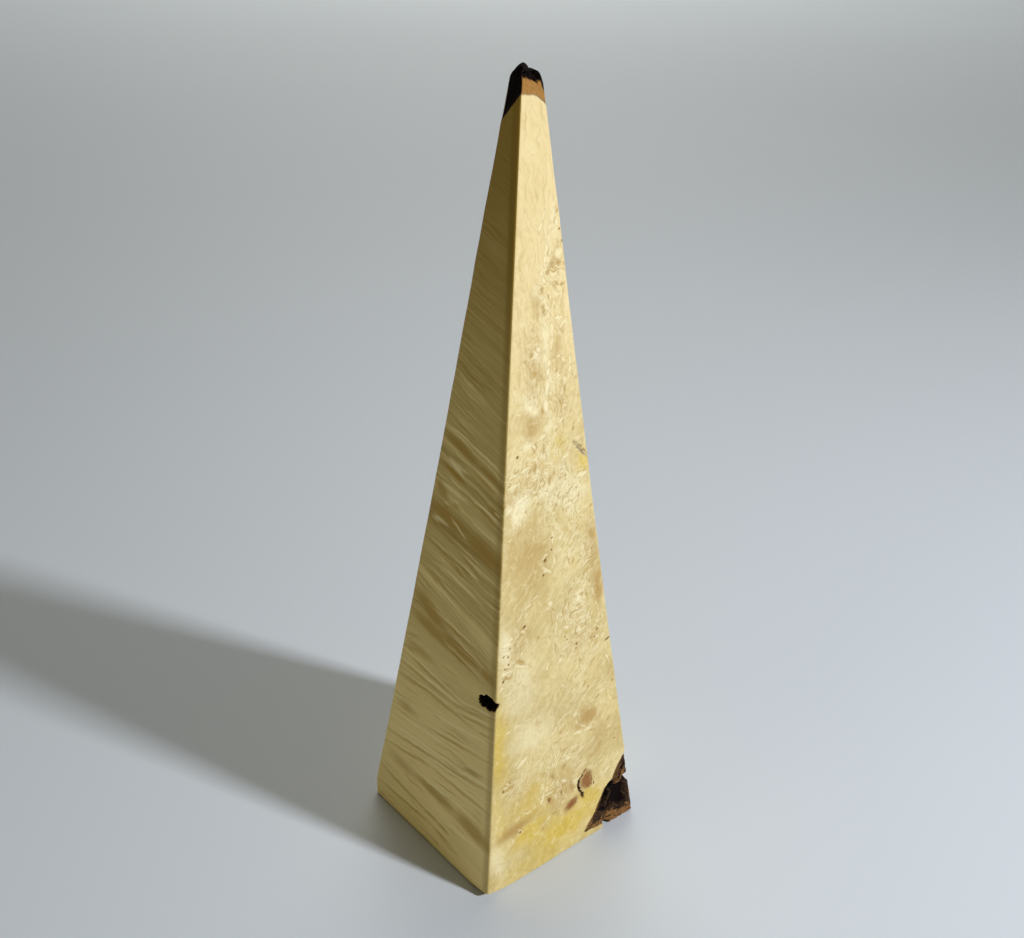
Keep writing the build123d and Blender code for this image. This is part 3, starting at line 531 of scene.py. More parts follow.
class Surface:
    """The worked surface's points with what each of them needs to be carved and coloured."""

    def __init__(self, points, normals):
        self.points, self.normals = points, normals
        self.x, self.y, self.z = points.T
        self.from_right = half_x(self.z) - self.x
        self.from_left = half_x(self.z) + self.x
        self.from_front = half_y(self.z) + self.y
        self.front = -normals[:, 1] > SIDE_FACING
        self.right = normals[:, 0] > SIDE_FACING
        self.left = -normals[:, 0] > SIDE_FACING
        self.ragged = RAG_DEPTH * fbm(points, RAG_SIZE, 3, 2.3)
        self.carve()
        self.colour()

    def hollow(self, where, across, outline, depth, wall):
        """Depth of a natural hollow with ragged, sloping walls."""
        inside = signed_distance(across, self.z, outline) + self.ragged
        return np.where(where, depth * smooth(-0.1, wall, inside), 0.0)

    def by_right(self, where, across, run, shares, depth, wall):
        return self.hollow(where, across, scaled(shares, run, BARK_HIGH), depth, wall)

    def carve(self):
        """Bark cover, then the depth of everything below the worked surface."""
        on_front = signed_distance(self.from_right, self.z, bark_outline(BARK_FRONT_EDGE, BARK_FRONT_RUN))
        on_side = signed_distance(self.from_front, self.z, bark_outline(BARK_SIDE_EDGE, BARK_SIDE_RUN))
        corner = np.maximum(np.where(self.front, on_front, -FAR), np.where(self.right, on_side, -FAR))
        self.corner = corner + 0.6 * self.ragged
        bowed = TIP_BARK_BOW * np.maximum(self.x - TIP_BARK_BOW_FROM, 0) ** 2
        end = self.z - (TIP_BARK_Z - TIP_BARK_ACROSS * self.x - TIP_BARK_BACK * self.y - bowed)
        self.tip = 0.62 * end + 0.25 * self.ragged

        front = (self.front, self.from_right, BARK_FRONT_RUN)
        side = (self.right, self.from_front, BARK_SIDE_RUN)
        round_right = np.where(self.right, self.from_front, -self.from_right)
        both = (self.front | self.right, round_right, BARK_SIDE_RUN)
        hollows = [
            self.by_right(*front, CREVICE, CREVICE_DEPTH, CREVICE_WALL),
            self.by_right(*front, FURROW, FURROW_DEPTH, FURROW_WALL),
            self.by_right(*front, BARK_CRACK, BARK_CRACK_DEPTH, BARK_CRACK_WALL),
            self.by_right(*front, CHIP, CHIP_DEPTH, CHIP_WALL),
            self.by_right(*side, SIDE_FURROW, FURROW_DEPTH, FURROW_WALL),
            self.by_right(*side, SIDE_CREVICE, FURROW_DEPTH, FURROW_WALL),
            self.by_right(*both, NOTCH, NOTCH_DEPTH, NOTCH_WALL),
        ]
        self.crevice = np.max(hollows, axis=0)

        layers = np.abs(np.sin(pi * (self.corner / BARK_LAYER + 1.2 * fbm(self.points, 4.0, 2, 3.1))))
        plates = np.abs(fbm(self.points, 1.8, 3, 9.4))
        off_arris = smooth(0, ARRIS_RELIEF_RUN, np.minimum(self.from_right, self.from_front))
        near_arris = ARRIS_RELIEF + (1 - ARRIS_RELIEF) * off_arris
        relief = near_arris * (BARK_STEP + BARK_LAYER_RISE * (1 - layers) ** 2 + BARK_PLATE_RISE * plates)
        bark = smooth(-0.15, 0.4, self.corner) * relief + self.crevice

        pit_z = HEIGHT - TIP_PIT_LOW
        pit = scaled(TIP_PIT, half_x(pit_z), TIP_PIT_LOW - TIP_PIT_HIGH, 0.0, pit_z)
        self.pit = self.hollow(self.front, self.x, pit, TIP_PIT_DEPTH, TIP_PIT_WALL)
        torn = smooth(TORN_FROM, TORN_FULL, self.z)
        rough_tip = smooth(-1.0, 2.0, self.tip) * (0.12 + 0.5 * torn * np.abs(fbm(self.points, 1.4, 3, 5.0)))

        round_arris = np.where(self.left, self.from_front, -0.6 * self.from_left)
        pocket = scaled(POCKET, POCKET_WIDE, POCKET_TALL, 0.0, POCKET_Z)
        self.pocket = self.hollow(self.left | self.front, round_arris, pocket, POCKET_DEPTH, POCKET_WALL)
        knot = scaled(KNOT_CRACK, KNOT_TALL, KNOT_TALL, KNOT_INSET, KNOT_Z)
        self.knot = self.hollow(self.front, self.from_right, knot, KNOT_CRACK_DEPTH, KNOT_CRACK_WALL)
        gouge = scaled(GOUGE, GOUGE_TALL, GOUGE_TALL, GOUGE_INSET, GOUGE_Z)
        self.gouge = self.hollow(self.front, self.from_right, gouge, GOUGE_DEPTH, GOUGE_WALL)

        sanded = SAND_DEPTH + SAND_WAVE * smooth(-0.5, 0.5, fbm(self.points, SAND_SIZE, 2, 7.7))
        others = [bark, self.pit + rough_tip, self.pocket, self.knot, self.gouge]
        slim = TIP_SLIM * smooth(TIP_SLIM_FROM, TIP_SLIM_FULL, self.z)
        slim += TIP_SLIM_LEFT * smooth(0.0, 1.5, self.tip) * self.left
        self.depth = sanded + slim + np.max(others, axis=0)

    def inward(self):
        """Direction in which each point is carved: into its side, or towards the axis close to an arris."""
        into = -self.normals
        right_arris = np.exp(-((self.from_right + self.from_front) / 4) ** 2)[:, None]
        front_arris = np.exp(-((self.from_left + self.from_front) / 4) ** 2)[:, None]
        into = into + right_arris * np.array([-1.0, 1.0, 0.0]) + front_arris * np.array([1.0, 1.0, 0.0])
        return into / np.linalg.norm(into, axis=1)[:, None]

    def carved(self):
        return worn(self.points + self.inward() * self.depth[:, None])

    def patches(self, spots):
        """Soft patches on the front side that sink a little way round its arrises."""
        total = np.zeros(self.z.shape)
        for across, up, wide, tall, tilt, strength in spots:
            turn = radians(tilt)
            du, dv = self.warped_x - across, self.warped_z - up
            u, v = (du * cos(turn) + dv * sin(turn)) / wide, (dv * cos(turn) - du * sin(turn)) / tall
            total = np.maximum(total, strength * np.exp(-(u * u + v * v) ** 1.4))
        return total * np.exp(-(self.from_front / PATCH_FADE) ** 2)

    def colour(self):
        """Shares of each colour and figure at every point, with painted bounce light and painted shade on the
        left side.
        """
        self.warped_x = self.x + PATCH_WARP_X * fbm(self.points, PATCH_WARP_SIZE, 3, 11.0)
        self.warped_z = self.z + PATCH_WARP_Z * fbm(self.points, PATCH_WARP_SIZE, 3, 17.0)
        front = np.exp(-(self.from_front / LINE_FADE) ** 2) * ~self.left
        hidden = np.where(self.left, 0.0, 1 - np.exp(-(self.from_front / PATCH_FADE) ** 2))
        tip_bark = np.where(self.left, self.tip, 0.5 * self.tip)
        arris_painted_shade = smooth(3.0, 1.0, self.from_front)
        drift = fbm(self.points, 20.0, 3, 23.0)
        self.fields = {
            "layer": self.layer(),
            "flow": self.flow(),
            "front": front,
            "side": self.left * 1.0,
            # Painted bounce light on the left side: lighter low down, fading out going up
            "painted_bounce_light": self.left * smooth(PAINTED_BOUNCE_END, PAINTED_BOUNCE_FULL, self.z) * smooth(0.2, 1.0, self.z),
            # Painted shade on the left side: darker towards the top, and in a strip along the front arris
            "painted_shade": self.left * (smooth(PAINTED_SHADE_FROM, PAINTED_SHADE_FULL, self.z) + 0.5 * arris_painted_shade),
            "grain": np.where(self.left, 1.0, 0.55 * hidden),
            "burl": self.patches(BURL) + 0.8 * hidden * smooth(-0.1, 0.5, drift),
            "tan": self.patches(TAN) + 0.5 * hidden * smooth(0.1, 0.6, -drift),
            "pale": self.patches(PALE) + 0.5 * hidden * smooth(0.2, 0.7, drift),
            "gold": self.patches(GOLD),
            "bark": np.max([self.corner, tip_bark, self.hole_cover()], axis=0),
            "black": self.blackness(),
            "ochre": self.ochre(),
            "grey": 1.2 * smooth(0.05, 0.35, self.gouge / GOUGE_DEPTH),
        }

    def hole_cover(self):
        """How far into the pocket or the crack a point lies, as cover of bark."""
        return np.maximum(2 * (self.pocket - 0.08), 2 * (self.knot - 0.3))

    def blackness(self):
        """Share of black: the left and the crown of the torn tip, and the depths of the hollows; in the
        bark's crevices the black is painted shade over the bark's dark colour.
        """
        left_tip = smooth(0.0, 0.3, self.tip) * self.left
        under_end = tip_height(self.x, self.y) - self.z
        crown = smooth(1.0, 0.6, under_end)
        on_shoulder = smooth(2.4, 2.1, self.x) * smooth(CROWN_FROM, CROWN_FULL, self.z)
        on_front = np.maximum(on_shoulder, smooth(0.25, 0.1, under_end))
        crown = np.where(self.front | self.right, crown * on_front, crown)
        # Painted shade: black deep in the bark's crevices, over the bark's own dark colour
        deep = smooth(0.5, 1.3, self.crevice)
        holes = np.maximum(smooth(0.05, 0.3, self.pocket), smooth(0.15, 0.5, self.pit))
        return np.max([left_tip, crown, deep, holes, smooth(0.3, 0.6, self.knot)], axis=0)

    def ochre(self):
        """Share of bare ochre wood: at the tip, and on the bark's ledge, lobe and inner edge."""
        ledge = signed_distance(self.from_right, self.z, scaled(BARK_LEDGE, BARK_FRONT_RUN, BARK_HIGH))
        lobe = signed_distance(self.from_right, self.z, scaled(BARK_LOBE, BARK_FRONT_RUN, BARK_HIGH))
        inner = smooth(1.3, 0.5, self.corner) * (0.4 + 0.6 * smooth(13.0, 10.0, self.z))
        on_tip = 3.0 * smooth(-0.4, -0.15, self.tip) * smooth(193.6, 193.2, self.z) * ~self.left
        outer = np.maximum(smooth(-0.3, 0.5, ledge + self.ragged), 0.45 * smooth(-0.3, 0.6, lobe))
        on_front = np.maximum(outer, inner)
        return np.maximum(np.where(self.front, on_front, 0.35 * inner), on_tip)

    def flow(self):
        """Distance across the fibres: upright near the tip, leaning right lower down, parted by the eyes."""
        lean = FIBRE_LEAN * np.minimum(self.z, FIBRE_TURN)
        lean += FIBRE_SHIFT * smooth(FIBRE_TURN, FIBRE_UPRIGHT, self.z)
        flow = self.x + 0.35 * self.y - lean
        flow += 1.5 * fbm(self.points, 6.0, 2, 51.0) + 0.4 * fbm(self.points, 2.0, 2, 57.0)
        for across, up, radius in EYES:
            du, dv = self.x - across, self.z - up
            flow -= 2.2 * (0.8 * du - 0.6 * dv) * radius ** 2 / (du * du + dv * dv + radius ** 2)
        return flow

    def layer(self):
        """Height of each point's growth layer where it would reach the front arris."""
        lean = 0.12 + 0.25 * np.exp(-((self.z - 75) / 14) ** 2)
        z = self.z - lean * self.from_left + 0.5 * fbm(self.points, 12.0, 2, 31.0)
        share = self.from_front / LAYER_RUN
        total = np.full(z.shape, LAYERS[0][0])
        for (near, far), (next_near, next_far) in zip(LAYERS, LAYERS[1:]):
            low, high = near + (far - near) * share, next_near + (next_far - next_near) * share
            total += (next_near - near) * np.clip((z - low) / (high - low), 0, 1)
        return total


def cap(rim, rings, height):
    """Rings of points that close an end, from just inside its rim to its middle point."""
    made = []
    for i in range(1, rings + 1):
        share = 1 - i / (rings + 1)
        ring = rim * np.array([share, share, 1.0])
        ring[:, 2] = height(ring, rim, share)
        made.append(ring)
    middle = np.array([[0.0, 0.0, 0.0]])
    middle[:, 2] = height(middle, middle, 0.0)
    return made, middle


def torn_end(ring, rim, share):
    """Height of the torn bark inside the ragged end."""
    torn = 0.5 * np.abs(fbm(ring, 1.3, 3, 41.0)) * (1 - share)
    settled = tip_height(ring[:, 0], ring[:, 1])
    return share ** 2 * (rim[:, 2] - tip_height(rim[:, 0], rim[:, 1])) * (share > 0) + settled - torn


def flat_foot(ring, rim, share):
    return foot_lift(ring[:, 0], ring[:, 1])


def finial_mesh():
    """The finial's mesh: carved skin, torn tip and flat foot, with its colour fields."""
    points, normals = skin()
    row_count, col_count, _ = points.shape
    surface = Surface(points.reshape(-1, 3), normals.reshape(-1, 3))
    carved = surface.carved().reshape(points.shape)
    tip_rings, tip_middle = cap(carved[-1], CAP_RINGS, torn_end)
    foot_rings, foot_middle = cap(carved[0], FOOT_RINGS, flat_foot)

    rows = [*reversed(foot_rings), *carved, *tip_rings]
    corners = np.concatenate([*rows, foot_middle, tip_middle])
    faces = []
    for row in range(len(rows) - 1):
        for col in range(col_count):
            after = (col + 1) % col_count
            low, high = row * col_count, (row + 1) * col_count
            faces.append((low + col, low + after, high + after, high + col))
    foot, tip = len(corners) - 2, len(corners) - 1
    last = (len(rows) - 1) * col_count
    for col in range(col_count):
        after = (col + 1) % col_count
        faces.append((after, col, foot))
        faces.append((last + col, last + after, tip))

    mesh = bpy.data.meshes.new("finial_wood")
    mesh.from_pydata((corners * MM).tolist(), [], faces)
    for name, values in surface.fields.items():
        grid = values.reshape(row_count, col_count)
        middles = [[grid[0].mean()], [grid[-1].mean()]]
        spread = [*[grid[0]] * FOOT_RINGS, *grid, *[grid[-1]] * CAP_RINGS, *middles]
        field = mesh.attributes.new(name, "FLOAT", "POINT")
        field.data.foreach_set("value", np.concatenate(spread).astype(np.float32))
    mesh.polygons.foreach_set("use_smooth", np.ones(len(mesh.polygons), bool))
    mesh.update()
    return mesh


class Nodes:
    """Short hands for building one material out of nodes."""

    def __init__(self, name):
        self.material = bpy.data.materials.new(name)
        self.material.use_nodes = True
        self.tree = self.material.node_tree
        self.surface = self.tree.nodes["Principled BSDF"]

    def add(self, kind, **settings):
        node = self.tree.nodes.new(kind)
        for key, value in settings.items():
            setattr(node, key, value)
        return node

    def set(self, socket, value):
        """Joins a socket to another node's output, or sets it to a number or colour."""
        if isinstance(value, bpy.types.NodeSocket):
            self.tree.links.new(value, socket)
        else:
            socket.default_value = value

    def fill(self, node, inputs):
        """Sets a node's inputs by their names."""
        for name, value in inputs.items():
            self.set(node.inputs[name], value)
        return node

    def math(self, operation, *values):
        node = self.add("ShaderNodeMath", operation=operation)
        for socket, value in zip(node.inputs, values):
            self.set(socket, value)
        return node.outputs[0]

    def times(self, first, *others):
        """The product of several values."""
        for other in others:
            first = self.math("MULTIPLY", first, other)
        return first

    def ease(self, value, low, high):
        """0 to 1 as the value goes from low to high, with soft ends."""
        node = self.add("ShaderNodeMapRange", interpolation_type="SMOOTHSTEP")
        return self.fill(node, {"Value": value, "From Min": low, "From Max": high}).outputs["Result"]

    def mix(self, share, first, second):
        node = self.add("ShaderNodeMix", data_type="RGBA")
        for index, value in ((0, share), (6, first), (7, second)):
            self.set(node.inputs[index], value)
        return node.outputs[2]

    def tint(self, under, colour, *shares):
        """Lays a colour over another by the product of several shares."""
        return self.mix(self.times(*shares), under, colour)

    def noise(self, place, scale, detail=3.0, roughness=0.5, distortion=0.0, output="Fac"):
        inputs = {"Vector": place, "Scale": scale, "Detail": detail, "Roughness": roughness,
                  "Distortion": distortion}
        return self.fill(self.add("ShaderNodeTexNoise"), inputs).outputs[output]

    def stops(self, value, colours):
        node = self.add("ShaderNodeValToRGB")
        ramp = node.color_ramp
        while len(ramp.elements) < len(colours):
            ramp.elements.new(1.0)
        for element, (position, colour) in zip(ramp.elements, colours):
            element.position = position
            element.color = colour
        self.set(node.inputs[0], value)
        return node.outputs[0]

    def lens(self, place, across, up, half_long, half_wide, tilt):
        """1 at the middle of a lens on a side, falling to 0 at its rim."""
        node = self.add("ShaderNodeMapping", vector_type="TEXTURE")
        inputs = {"Vector": place, "Location": (across, 0.0, up), "Rotation": (0.0, -radians(tilt), 0.0),
                  "Scale": (half_long, HEIGHT, half_wide)}
        rim = self.add("ShaderNodeTexGradient", gradient_type="SPHERICAL")
        self.set(rim.inputs[0], self.fill(node, inputs).outputs[0])
        return rim.outputs["Fac"]

    def lenses(self, place, rows):
        """The highest of several lenses at each point."""
        total = 0.0
        for row in rows:
            total = self.math("MAXIMUM", total, self.lens(place, *row))
        return total

    def strokes(self, place, rows, full):
        """Several lenses with soft rims, at their full strength once they reach a value."""
        return self.ease(self.lenses(place, rows), 0.0, full)

    def triple(self, x, y, z):
        node = self.add("ShaderNodeCombineXYZ")
        for socket, value in zip(node.inputs, (x, y, z)):
            self.set(socket, value)
        return node.outputs[0]

    def axes(self, place):
        node = self.add("ShaderNodeSeparateXYZ")
        self.set(node.inputs[0], place)
        return node.outputs

    def field(self, name):
        return self.add("ShaderNodeAttribute", attribute_name=name).outputs["Fac"]

    def vector(self, operation, first, second=(0.0, 0.0, 0.0), scale=1.0):
        node = self.add("ShaderNodeVectorMath", operation=operation)
        for socket, value in ((node.inputs[0], first), (node.inputs[1], second), (node.inputs[3], scale)):
            self.set(socket, value)
        return node.outputs[0]

    def shaken(self, place, scale, detail, reach):
        """A place moved about by noise."""
        centred = self.vector("SUBTRACT", self.noise(place, scale, detail, output="Color"), (0.5, 0.5, 0.5))
        return self.vector("ADD", place, self.vector("SCALE", centred, scale=reach))


def rgb(red, green, blue):
    return (red, green, blue, 1.0)


# Colours of the left side's layers; the last is the painted shade on its upper part and along its front arris
BROWN, HONEY, LIGHT = rgb(0.32, 0.165, 0.015), rgb(0.61, 0.46, 0.16), rgb(0.99, 0.795, 0.365)
BAND_BROWN, LINE_BROWN = rgb(0.47, 0.285, 0.05), rgb(0.46, 0.25, 0.025)
HAIR_LIGHT, PAINTED_SHADE_UMBER = rgb(1.0, 0.86, 0.46), rgb(0.325, 0.2, 0.03)

# Colours of the front side's figure
STRAW, CREAM, PEACH = rgb(0.58, 0.45, 0.185), rgb(0.71, 0.575, 0.265), rgb(0.82, 0.655, 0.335)
TAN_WOOD, PALE_WOOD, GOLD_WOOD = rgb(0.47, 0.30, 0.095), rgb(0.89, 0.79, 0.49), rgb(0.66, 0.475, 0.08)
ROSE_WOOD, GREY_WOOD = rgb(0.26, 0.105, 0.03), rgb(0.42, 0.33, 0.2)
PIN_BROWN, RIM_BROWN = rgb(0.22, 0.115, 0.03), rgb(0.2, 0.12, 0.055)

# Colours of the bark
BARK_BROWN, BARK_BLACK = rgb(0.1, 0.055, 0.026), rgb(0.006, 0.0015, 0.0015)
BARK_OCHRE, TIP_OCHRE = rgb(0.33, 0.16, 0.05), rgb(0.5, 0.25, 0.065)

# Colours of the floor and of the world, which lights dimly and shows pale
FLOOR_DARK, FLOOR_LIGHT = rgb(0.69, 0.745, 0.81), rgb(0.72, 0.775, 0.84)
SKY_DIM, SKY_PALE = rgb(0.03, 0.03, 0.028), rgb(0.5, 0.54, 0.58)

# Fields of the mesh that the material reads
FIELDS = ("layer", "flow", "front", "side", "painted_bounce_light", "painted_shade", "grain", "burl", "tan", "pale", "gold", "grey",
          "bark", "black", "ochre")

# Heights between which the front's and the bark's colours change
PEACH_FROM, PEACH_FULL = 85.0, 150.0
MOTTLE_FULL, MOTTLE_END = 140.0, 165.0
TIP_OCHRE_FROM, TIP_OCHRE_FULL = 100.0, 150.0

# Light hairlines lie above the left side's dark lines, which are widened to soften them
HAIR_ABOVE, LINE_SOFT = 0.9, 1.7

# Pin knots are a little longer than wide and lie at a slant
PIN_LONG, PIN_WIDE, PIN_TILT = 1.1, 0.85, 40

# Half the floor's width, in metres
FLOOR_HALF = 4.0

# Roughness, sheen and fine relief
WOOD_ROUGH, BARK_ROUGH, SHEEN, FLOOR_ROUGH = 0.45, 0.8, 0.12, 0.5
WISP_RISE, GRIT_RISE = 0.04, 0.8

# Broad bands of the growth layers: (height at the front arris, tone), from 0 brown to 1 light
BANDS = [
    (0, 0.6), (5, 0.6), (6.6, 0.35), (8, 0.6), (10.4, 0.8), (12, 0.5), (13.4, 0.1), (15.5, 0.5), (20, 0.7),
    (27, 0.75), (28, 0.45), (30, 0.7), (36, 0.6), (44, 0.65), (46.8, 0.3), (48.5, 0.6), (50, 0.35),
    (53, 0.55), (56, 0.25), (58.5, 0.15), (61, 0.4), (64, 0.55), (66.4, 0.85), (69, 0.5), (74, 0.35),
    (77, 0.55), (81, 0.4), (83, 0.5)
]
BANDS_HIGH = [
    (83, 0.5), (85.4, 0.15), (89, 0.2), (91, 0.5), (92.8, 0.85), (95, 0.5), (98, 0.55), (99.3, 0.25),
    (100.2, 0.75), (101.5, 0.15), (103, 0.5), (104.8, 0.85), (106, 0.2), (107.4, 0.5), (108.4, 0.85),
    (110, 0.5), (120, 0.5)
]


def band_tone(nodes, layer, bands):
    low, high = bands[0][0], bands[-1][0]
    share = nodes.math("DIVIDE", nodes.math("SUBTRACT", layer, low), high - low)
    return nodes.stops(share, [((at - low) / (high - low), rgb(tone, tone, tone)) for at, tone in bands])


def layered_wood(nodes, fields, place, axes):
    """Growth layers cut at a slant: broad bands with fine lines in them, lightened low down by painted bounce
    light.
    """
    wander = nodes.times(nodes.math("SUBTRACT", nodes.noise(place, 0.16), 0.5), 1.4)
    layer = nodes.math("ADD", fields["layer"], wander)
    low_tone, high_tone = band_tone(nodes, layer, BANDS), band_tone(nodes, layer, BANDS_HIGH)
    tone = nodes.mix(nodes.math("GREATER_THAN", layer, BANDS_HIGH[0][0]), low_tone, high_tone)
    tone = nodes.math("MULTIPLY_ADD", nodes.math("SUBTRACT", tone, 0.6), 0.7, 0.62)
    run = nodes.times(nodes.math("ADD", axes[0], axes[1]), 0.035)
    lines = nodes.noise(nodes.triple(run, 0.0, layer), 1.3, 4.0, 0.7)
    fade = nodes.math("MULTIPLY_ADD", nodes.ease(nodes.noise(place, 0.09, 2.0), 0.4, 0.65), 1.2, 0.9)
    lines = nodes.times(nodes.math("SUBTRACT", lines, 0.5), fade)
    wood = nodes.stops(nodes.math("ADD", tone, lines), [(0.0, BROWN), (0.5, HONEY), (1.0, LIGHT)])
    # Painted bounce light: the left side's wood lightened low down, with brown lines kept in it
    wood = nodes.tint(wood, LIGHT, fields["painted_bounce_light"], 0.72)
    wood = nodes.tint(wood, BAND_BROWN, nodes.ease(lines, -0.04, -0.26), fields["painted_bounce_light"], 0.5)

    _, away, up = nodes.axes(nodes.shaken(place, 0.3, 2.0, 0.7))
    side = nodes.triple(away, 0.0, up)
    above = nodes.vector("ADD", side, (0.0, 0.0, -HAIR_ABOVE))
    on_side = fields["side"]
    wood = nodes.tint(wood, BAND_BROWN, nodes.strokes(side, LAYER_BANDS, 0.75), on_side, 0.75)
    wood = nodes.tint(wood, HAIR_LIGHT, nodes.strokes(side, LAYER_LIGHTS, 0.7), on_side, 0.7)
    wood = nodes.tint(wood, HAIR_LIGHT, nodes.strokes(above, LAYER_LINES, 0.9), on_side, 0.6)
    soft_lines = [(*start, wide * LINE_SOFT, tilt) for *start, wide, tilt in LAYER_LINES]
    return nodes.tint(wood, LINE_BROWN, nodes.strokes(side, soft_lines, 0.9), on_side, 0.5)


def figured_wood(nodes, fields, place, axes):
    """Cream wood with streaks along its fibres, burl wisps, lines, eyes and pin knots, with painted light and
    shade on the crinkles and painted shade beside the pale lines.
    """
    _, y, z = axes
    front = fields["front"]
    wood = nodes.mix(nodes.ease(nodes.noise(place, 0.06, 2.0), 0.35, 0.65), STRAW, CREAM)
    wood = nodes.tint(wood, PEACH, nodes.ease(z, PEACH_FROM, PEACH_FULL), 0.8)
    streak = nodes.noise(nodes.triple(fields["flow"], nodes.times(z, 0.14), 0.0), 0.9, 4.0, 0.65, 0.3)
    wood = nodes.tint(wood, TAN_WOOD, nodes.ease(streak, 0.5, 0.72), 0.35)
    wood = nodes.tint(wood, PALE_WOOD, nodes.ease(streak, 0.5, 0.3), 0.25)

    uneven = nodes.math("MULTIPLY_ADD", streak, 0.9, 0.45)
    for name, colour in (("tan", TAN_WOOD), ("pale", PALE_WOOD), ("gold", GOLD_WOOD), ("grey", GREY_WOOD)):
        wood = nodes.tint(wood, colour, fields[name], uneven)

    mottle = nodes.noise(place, 0.5, 3.0, 0.6, 0.6)
    mottled = nodes.math("MULTIPLY_ADD", nodes.ease(z, MOTTLE_END, MOTTLE_FULL), 0.2, 0.08)
    wood = nodes.tint(wood, TAN_WOOD, nodes.ease(mottle, 0.5, 0.7), mottled)
    wood = nodes.tint(wood, PALE_WOOD, nodes.ease(mottle, 0.48, 0.28), mottled)

    here = nodes.triple(fields["flow"], nodes.times(z, 0.4), y)
    beside = nodes.vector("ADD", here, (0.22, 0.2, 0.0))
    crinkle, crinkle_beside = [nodes.noise(spot, 0.65, 3.0, 0.6, 1.6) for spot in (here, beside)]
    burl = nodes.times(fields["burl"], nodes.ease(nodes.noise(place, 0.17, 2.0), 0.35, 0.55))
    # Painted light and shade: the crinkles are drawn as if lit from one side, tan on one flank and pale on
    # the other
    painted_relief_shading = nodes.math("SUBTRACT", crinkle, crinkle_beside)
    painted_relief_share = nodes.math("MULTIPLY_ADD", burl, 0.5, 0.12)
    wood = nodes.tint(wood, TAN_WOOD, nodes.ease(painted_relief_shading, 0.03, 0.14), painted_relief_share)
    wood = nodes.tint(wood, PALE_WOOD, nodes.ease(painted_relief_shading, -0.03, -0.14), painted_relief_share)
    wood = nodes.tint(wood, TAN_WOOD, nodes.ease(crinkle, 0.6, 0.72), burl, 0.6)
    off_middle = nodes.math("ABSOLUTE", nodes.math("SUBTRACT", crinkle, 0.5))
    wisp = nodes.times(nodes.ease(off_middle, 0.06, 0.0), burl)
    wood = nodes.tint(wood, PALE_WOOD, wisp, 0.75)

    drawn = nodes.shaken(place, 1.1, 3.0, 1.5)
    wood = nodes.tint(wood, TAN_WOOD, nodes.strokes(drawn, TAN_LINES, 0.9), front, 0.85)
    pale_lines = nodes.lenses(drawn, PALE_LINES)
    # Painted shade: tan rims along each side of the pale lines, standing for the thin shadows beside them
    rims = nodes.times(nodes.ease(pale_lines, 0.0, 0.15), nodes.ease(pale_lines, 0.4, 0.2))
    wood = nodes.tint(wood, TAN_WOOD, rims, front, 0.3)
    broken = nodes.math("MULTIPLY_ADD", nodes.ease(crinkle, 0.35, 0.6), 0.3, 0.5)
    wood = nodes.tint(wood, PALE_WOOD, nodes.ease(pale_lines, 0.05, 0.95), broken, front)
    wood = nodes.tint(wood, ROSE_WOOD, nodes.strokes(drawn, STAINS, 0.65), uneven, front)
    wood = nodes.tint(wood, RIM_BROWN, nodes.strokes(place, GOUGE_RIM, 0.9), front, 0.8)
    pins = [(across, up, radius * PIN_LONG, radius * PIN_WIDE, PIN_TILT) for across, up, radius in PINS]
    return nodes.tint(wood, PIN_BROWN, nodes.strokes(place, pins + SLASHES, 0.6), front), wisp


def bark_skin(nodes, fields, place, axes):
    """Dark bark with worn brown ridges and black cracks."""
    front = fields["front"]
    grit = nodes.noise(place, 1.6, 5.0, 0.7)
    bark = nodes.mix(nodes.ease(grit, 0.3, 0.7), BARK_BLACK, BARK_BROWN)
    bare = nodes.times(fields["ochre"], nodes.ease(grit, 0.25, 0.6))
    drawn = nodes.shaken(place, 1.4, 3.0, 1.2)
    ridges = nodes.times(nodes.strokes(drawn, BARK_RIDGES, 0.8), nodes.ease(grit, 0.2, 0.55), front)
    ochre = nodes.mix(nodes.ease(axes[2], TIP_OCHRE_FROM, TIP_OCHRE_FULL), BARK_OCHRE, TIP_OCHRE)
    bark = nodes.mix(nodes.math("MAXIMUM", bare, ridges), bark, ochre)
    cracks = nodes.times(nodes.ease(nodes.lenses(drawn, BARK_CRACKS), 0.1, 0.6), front)
    return nodes.mix(nodes.math("MAXIMUM", fields["black"], cracks), bark, BARK_BLACK), grit


def burl_material():
    """Pale burl wood, with the bark that belongs to it."""
    nodes = Nodes("burl_wood")
    place = nodes.vector("SCALE", nodes.add("ShaderNodeTexCoord").outputs["Object"], scale=1 / MM)
    axes = nodes.axes(place)
    fields = {name: nodes.field(name) for name in FIELDS}

    # Painted shade darkens the left side towards the top and along its front arris
    layered = nodes.tint(layered_wood(nodes, fields, place, axes), PAINTED_SHADE_UMBER, fields["painted_shade"], 0.85)
    figured, wisp = figured_wood(nodes, fields, place, axes)
    wood = nodes.mix(fields["grain"], figured, layered)
    bark, grit = bark_skin(nodes, fields, place, axes)
    cover = nodes.ease(fields["bark"], -0.1, 0.1)

    bump = nodes.add("ShaderNodeBump")
    height = nodes.math("ADD", nodes.times(wisp, WISP_RISE), nodes.times(grit, cover, GRIT_RISE))
    nodes.fill(bump, {"Height": height, "Distance": MM})
    rough = nodes.math("MULTIPLY_ADD", cover, BARK_ROUGH - WOOD_ROUGH, WOOD_ROUGH)
    nodes.fill(nodes.surface, {"Base Color": nodes.mix(cover, wood, bark), "Roughness": rough,
                               "Specular IOR Level": SHEEN, "Normal": bump.outputs[0]})
    return nodes.material


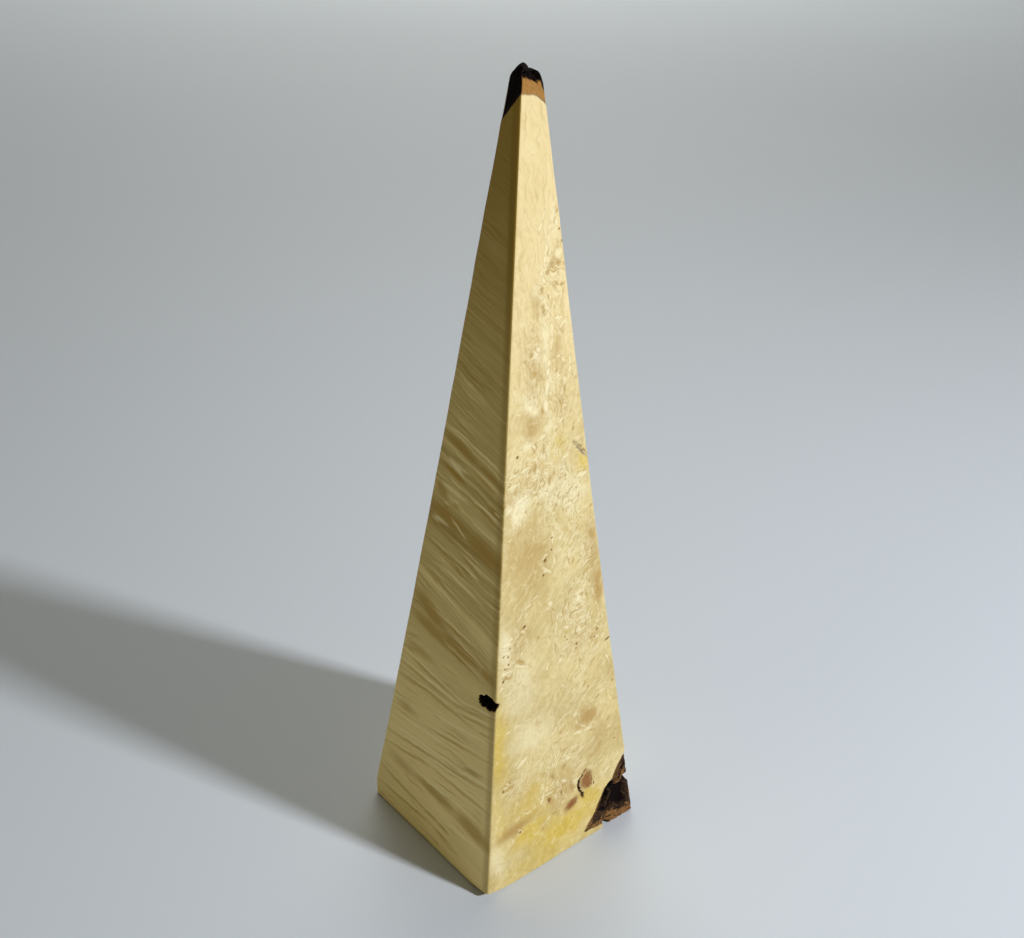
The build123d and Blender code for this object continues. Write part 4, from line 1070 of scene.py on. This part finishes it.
def floor_material():
    """A plain pale table top with a soft sheen."""
    nodes = Nodes("pale_floor")
    tone = nodes.noise(nodes.add("ShaderNodeTexCoord").outputs["Object"], 3.0, 2.0)
    colour = nodes.mix(tone, FLOOR_DARK, FLOOR_LIGHT)
    nodes.fill(nodes.surface, {"Base Color": colour, "Roughness": FLOOR_ROUGH})
    return nodes.material


def add_object(name, data):
    made = bpy.data.objects.new(name, data)
    bpy.context.scene.collection.objects.link(made)
    return made


def add_light(name, size, power, colour, direction, distance, target=(0.0, 0.0, 0.08), faces_down=False):
    """A soft square lamp in a direction from a target, facing the target or straight down."""
    lamp = bpy.data.lights.new(name, "AREA")
    lamp.size, lamp.energy, lamp.color = size, power, colour
    made = add_object(name, lamp)
    made.visible_camera = False
    towards = Vector(direction).normalized()
    made.location = Vector(target) + towards * distance
    if not faces_down:
        made.rotation_euler = (-towards).to_track_quat("-Z", "Y").to_euler()


# The finial
finial = add_object("finial_burl", finial_mesh())
finial.data.materials.append(burl_material())
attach(finial, "root")
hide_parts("finial")

# The floor
floor_mesh = bpy.data.meshes.new("floor")
floor_corners = [(x * FLOOR_HALF, y * FLOOR_HALF, 0.0) for x, y in ((-1, -1), (1, -1), (1, 1), (-1, 1))]
floor_mesh.from_pydata(floor_corners, [], [(0, 1, 2, 3)])
floor = add_object("floor", floor_mesh)
floor_mesh.materials.append(floor_material())

# Light: a low key lamp from the right, two broad dim ones behind, and a faint warm one from the left
add_light("key", size=0.085, power=7.9, colour=(0.95, 0.965, 1.0), direction=(0.371, -0.803, 0.469),
          distance=0.9)
add_light("overhead", size=3.0, power=31.0, colour=(1.0, 0.98, 0.88), direction=(1.6, 2.0, 1.85),
          distance=3.0, faces_down=True)
add_light("far", size=2.0, power=20.0, colour=(1.0, 1.0, 0.97), direction=(2.0, 2.4, 1.55),
          distance=3.5, faces_down=True)
add_light("warm", size=0.4, power=1.6, colour=(1.0, 0.9, 0.55), direction=(-1.0, 0.15, 0.12),
          distance=1.2, target=(0.0, 0.0, 0.05))

# The world: dim light, seen by the camera as a pale backdrop
world = bpy.data.worlds.new("studio")
world.use_nodes = True
backdrop = world.node_tree.nodes["Background"]
seen = world.node_tree.nodes.new("ShaderNodeLightPath").outputs["Is Camera Ray"]
sky = world.node_tree.nodes.new("ShaderNodeMix")
sky.data_type = "RGBA"
sky.inputs[6].default_value, sky.inputs[7].default_value = SKY_DIM, SKY_PALE
world.node_tree.links.new(seen, sky.inputs[0])
world.node_tree.links.new(sky.outputs[2], backdrop.inputs["Color"])
bpy.context.scene.world = world

# The camera
lens = bpy.data.cameras.new("camera")
lens.lens, lens.sensor_width, lens.sensor_fit = CAMERA_LENS, CAMERA_SENSOR, "HORIZONTAL"
lens.clip_start = CAMERA_NEAR
camera = add_object("camera", lens)
turned = Matrix.Rotation(CAMERA_TURN, 4, "Z") @ Matrix.Rotation(CAMERA_TILT, 4, "X")
camera.matrix_world = Matrix.Translation(CAMERA_PLACE) @ turned @ Matrix.Rotation(CAMERA_ROLL, 4, "Z")
bpy.context.scene.camera = camera
bpy.context.scene.view_settings.view_transform = "Standard"
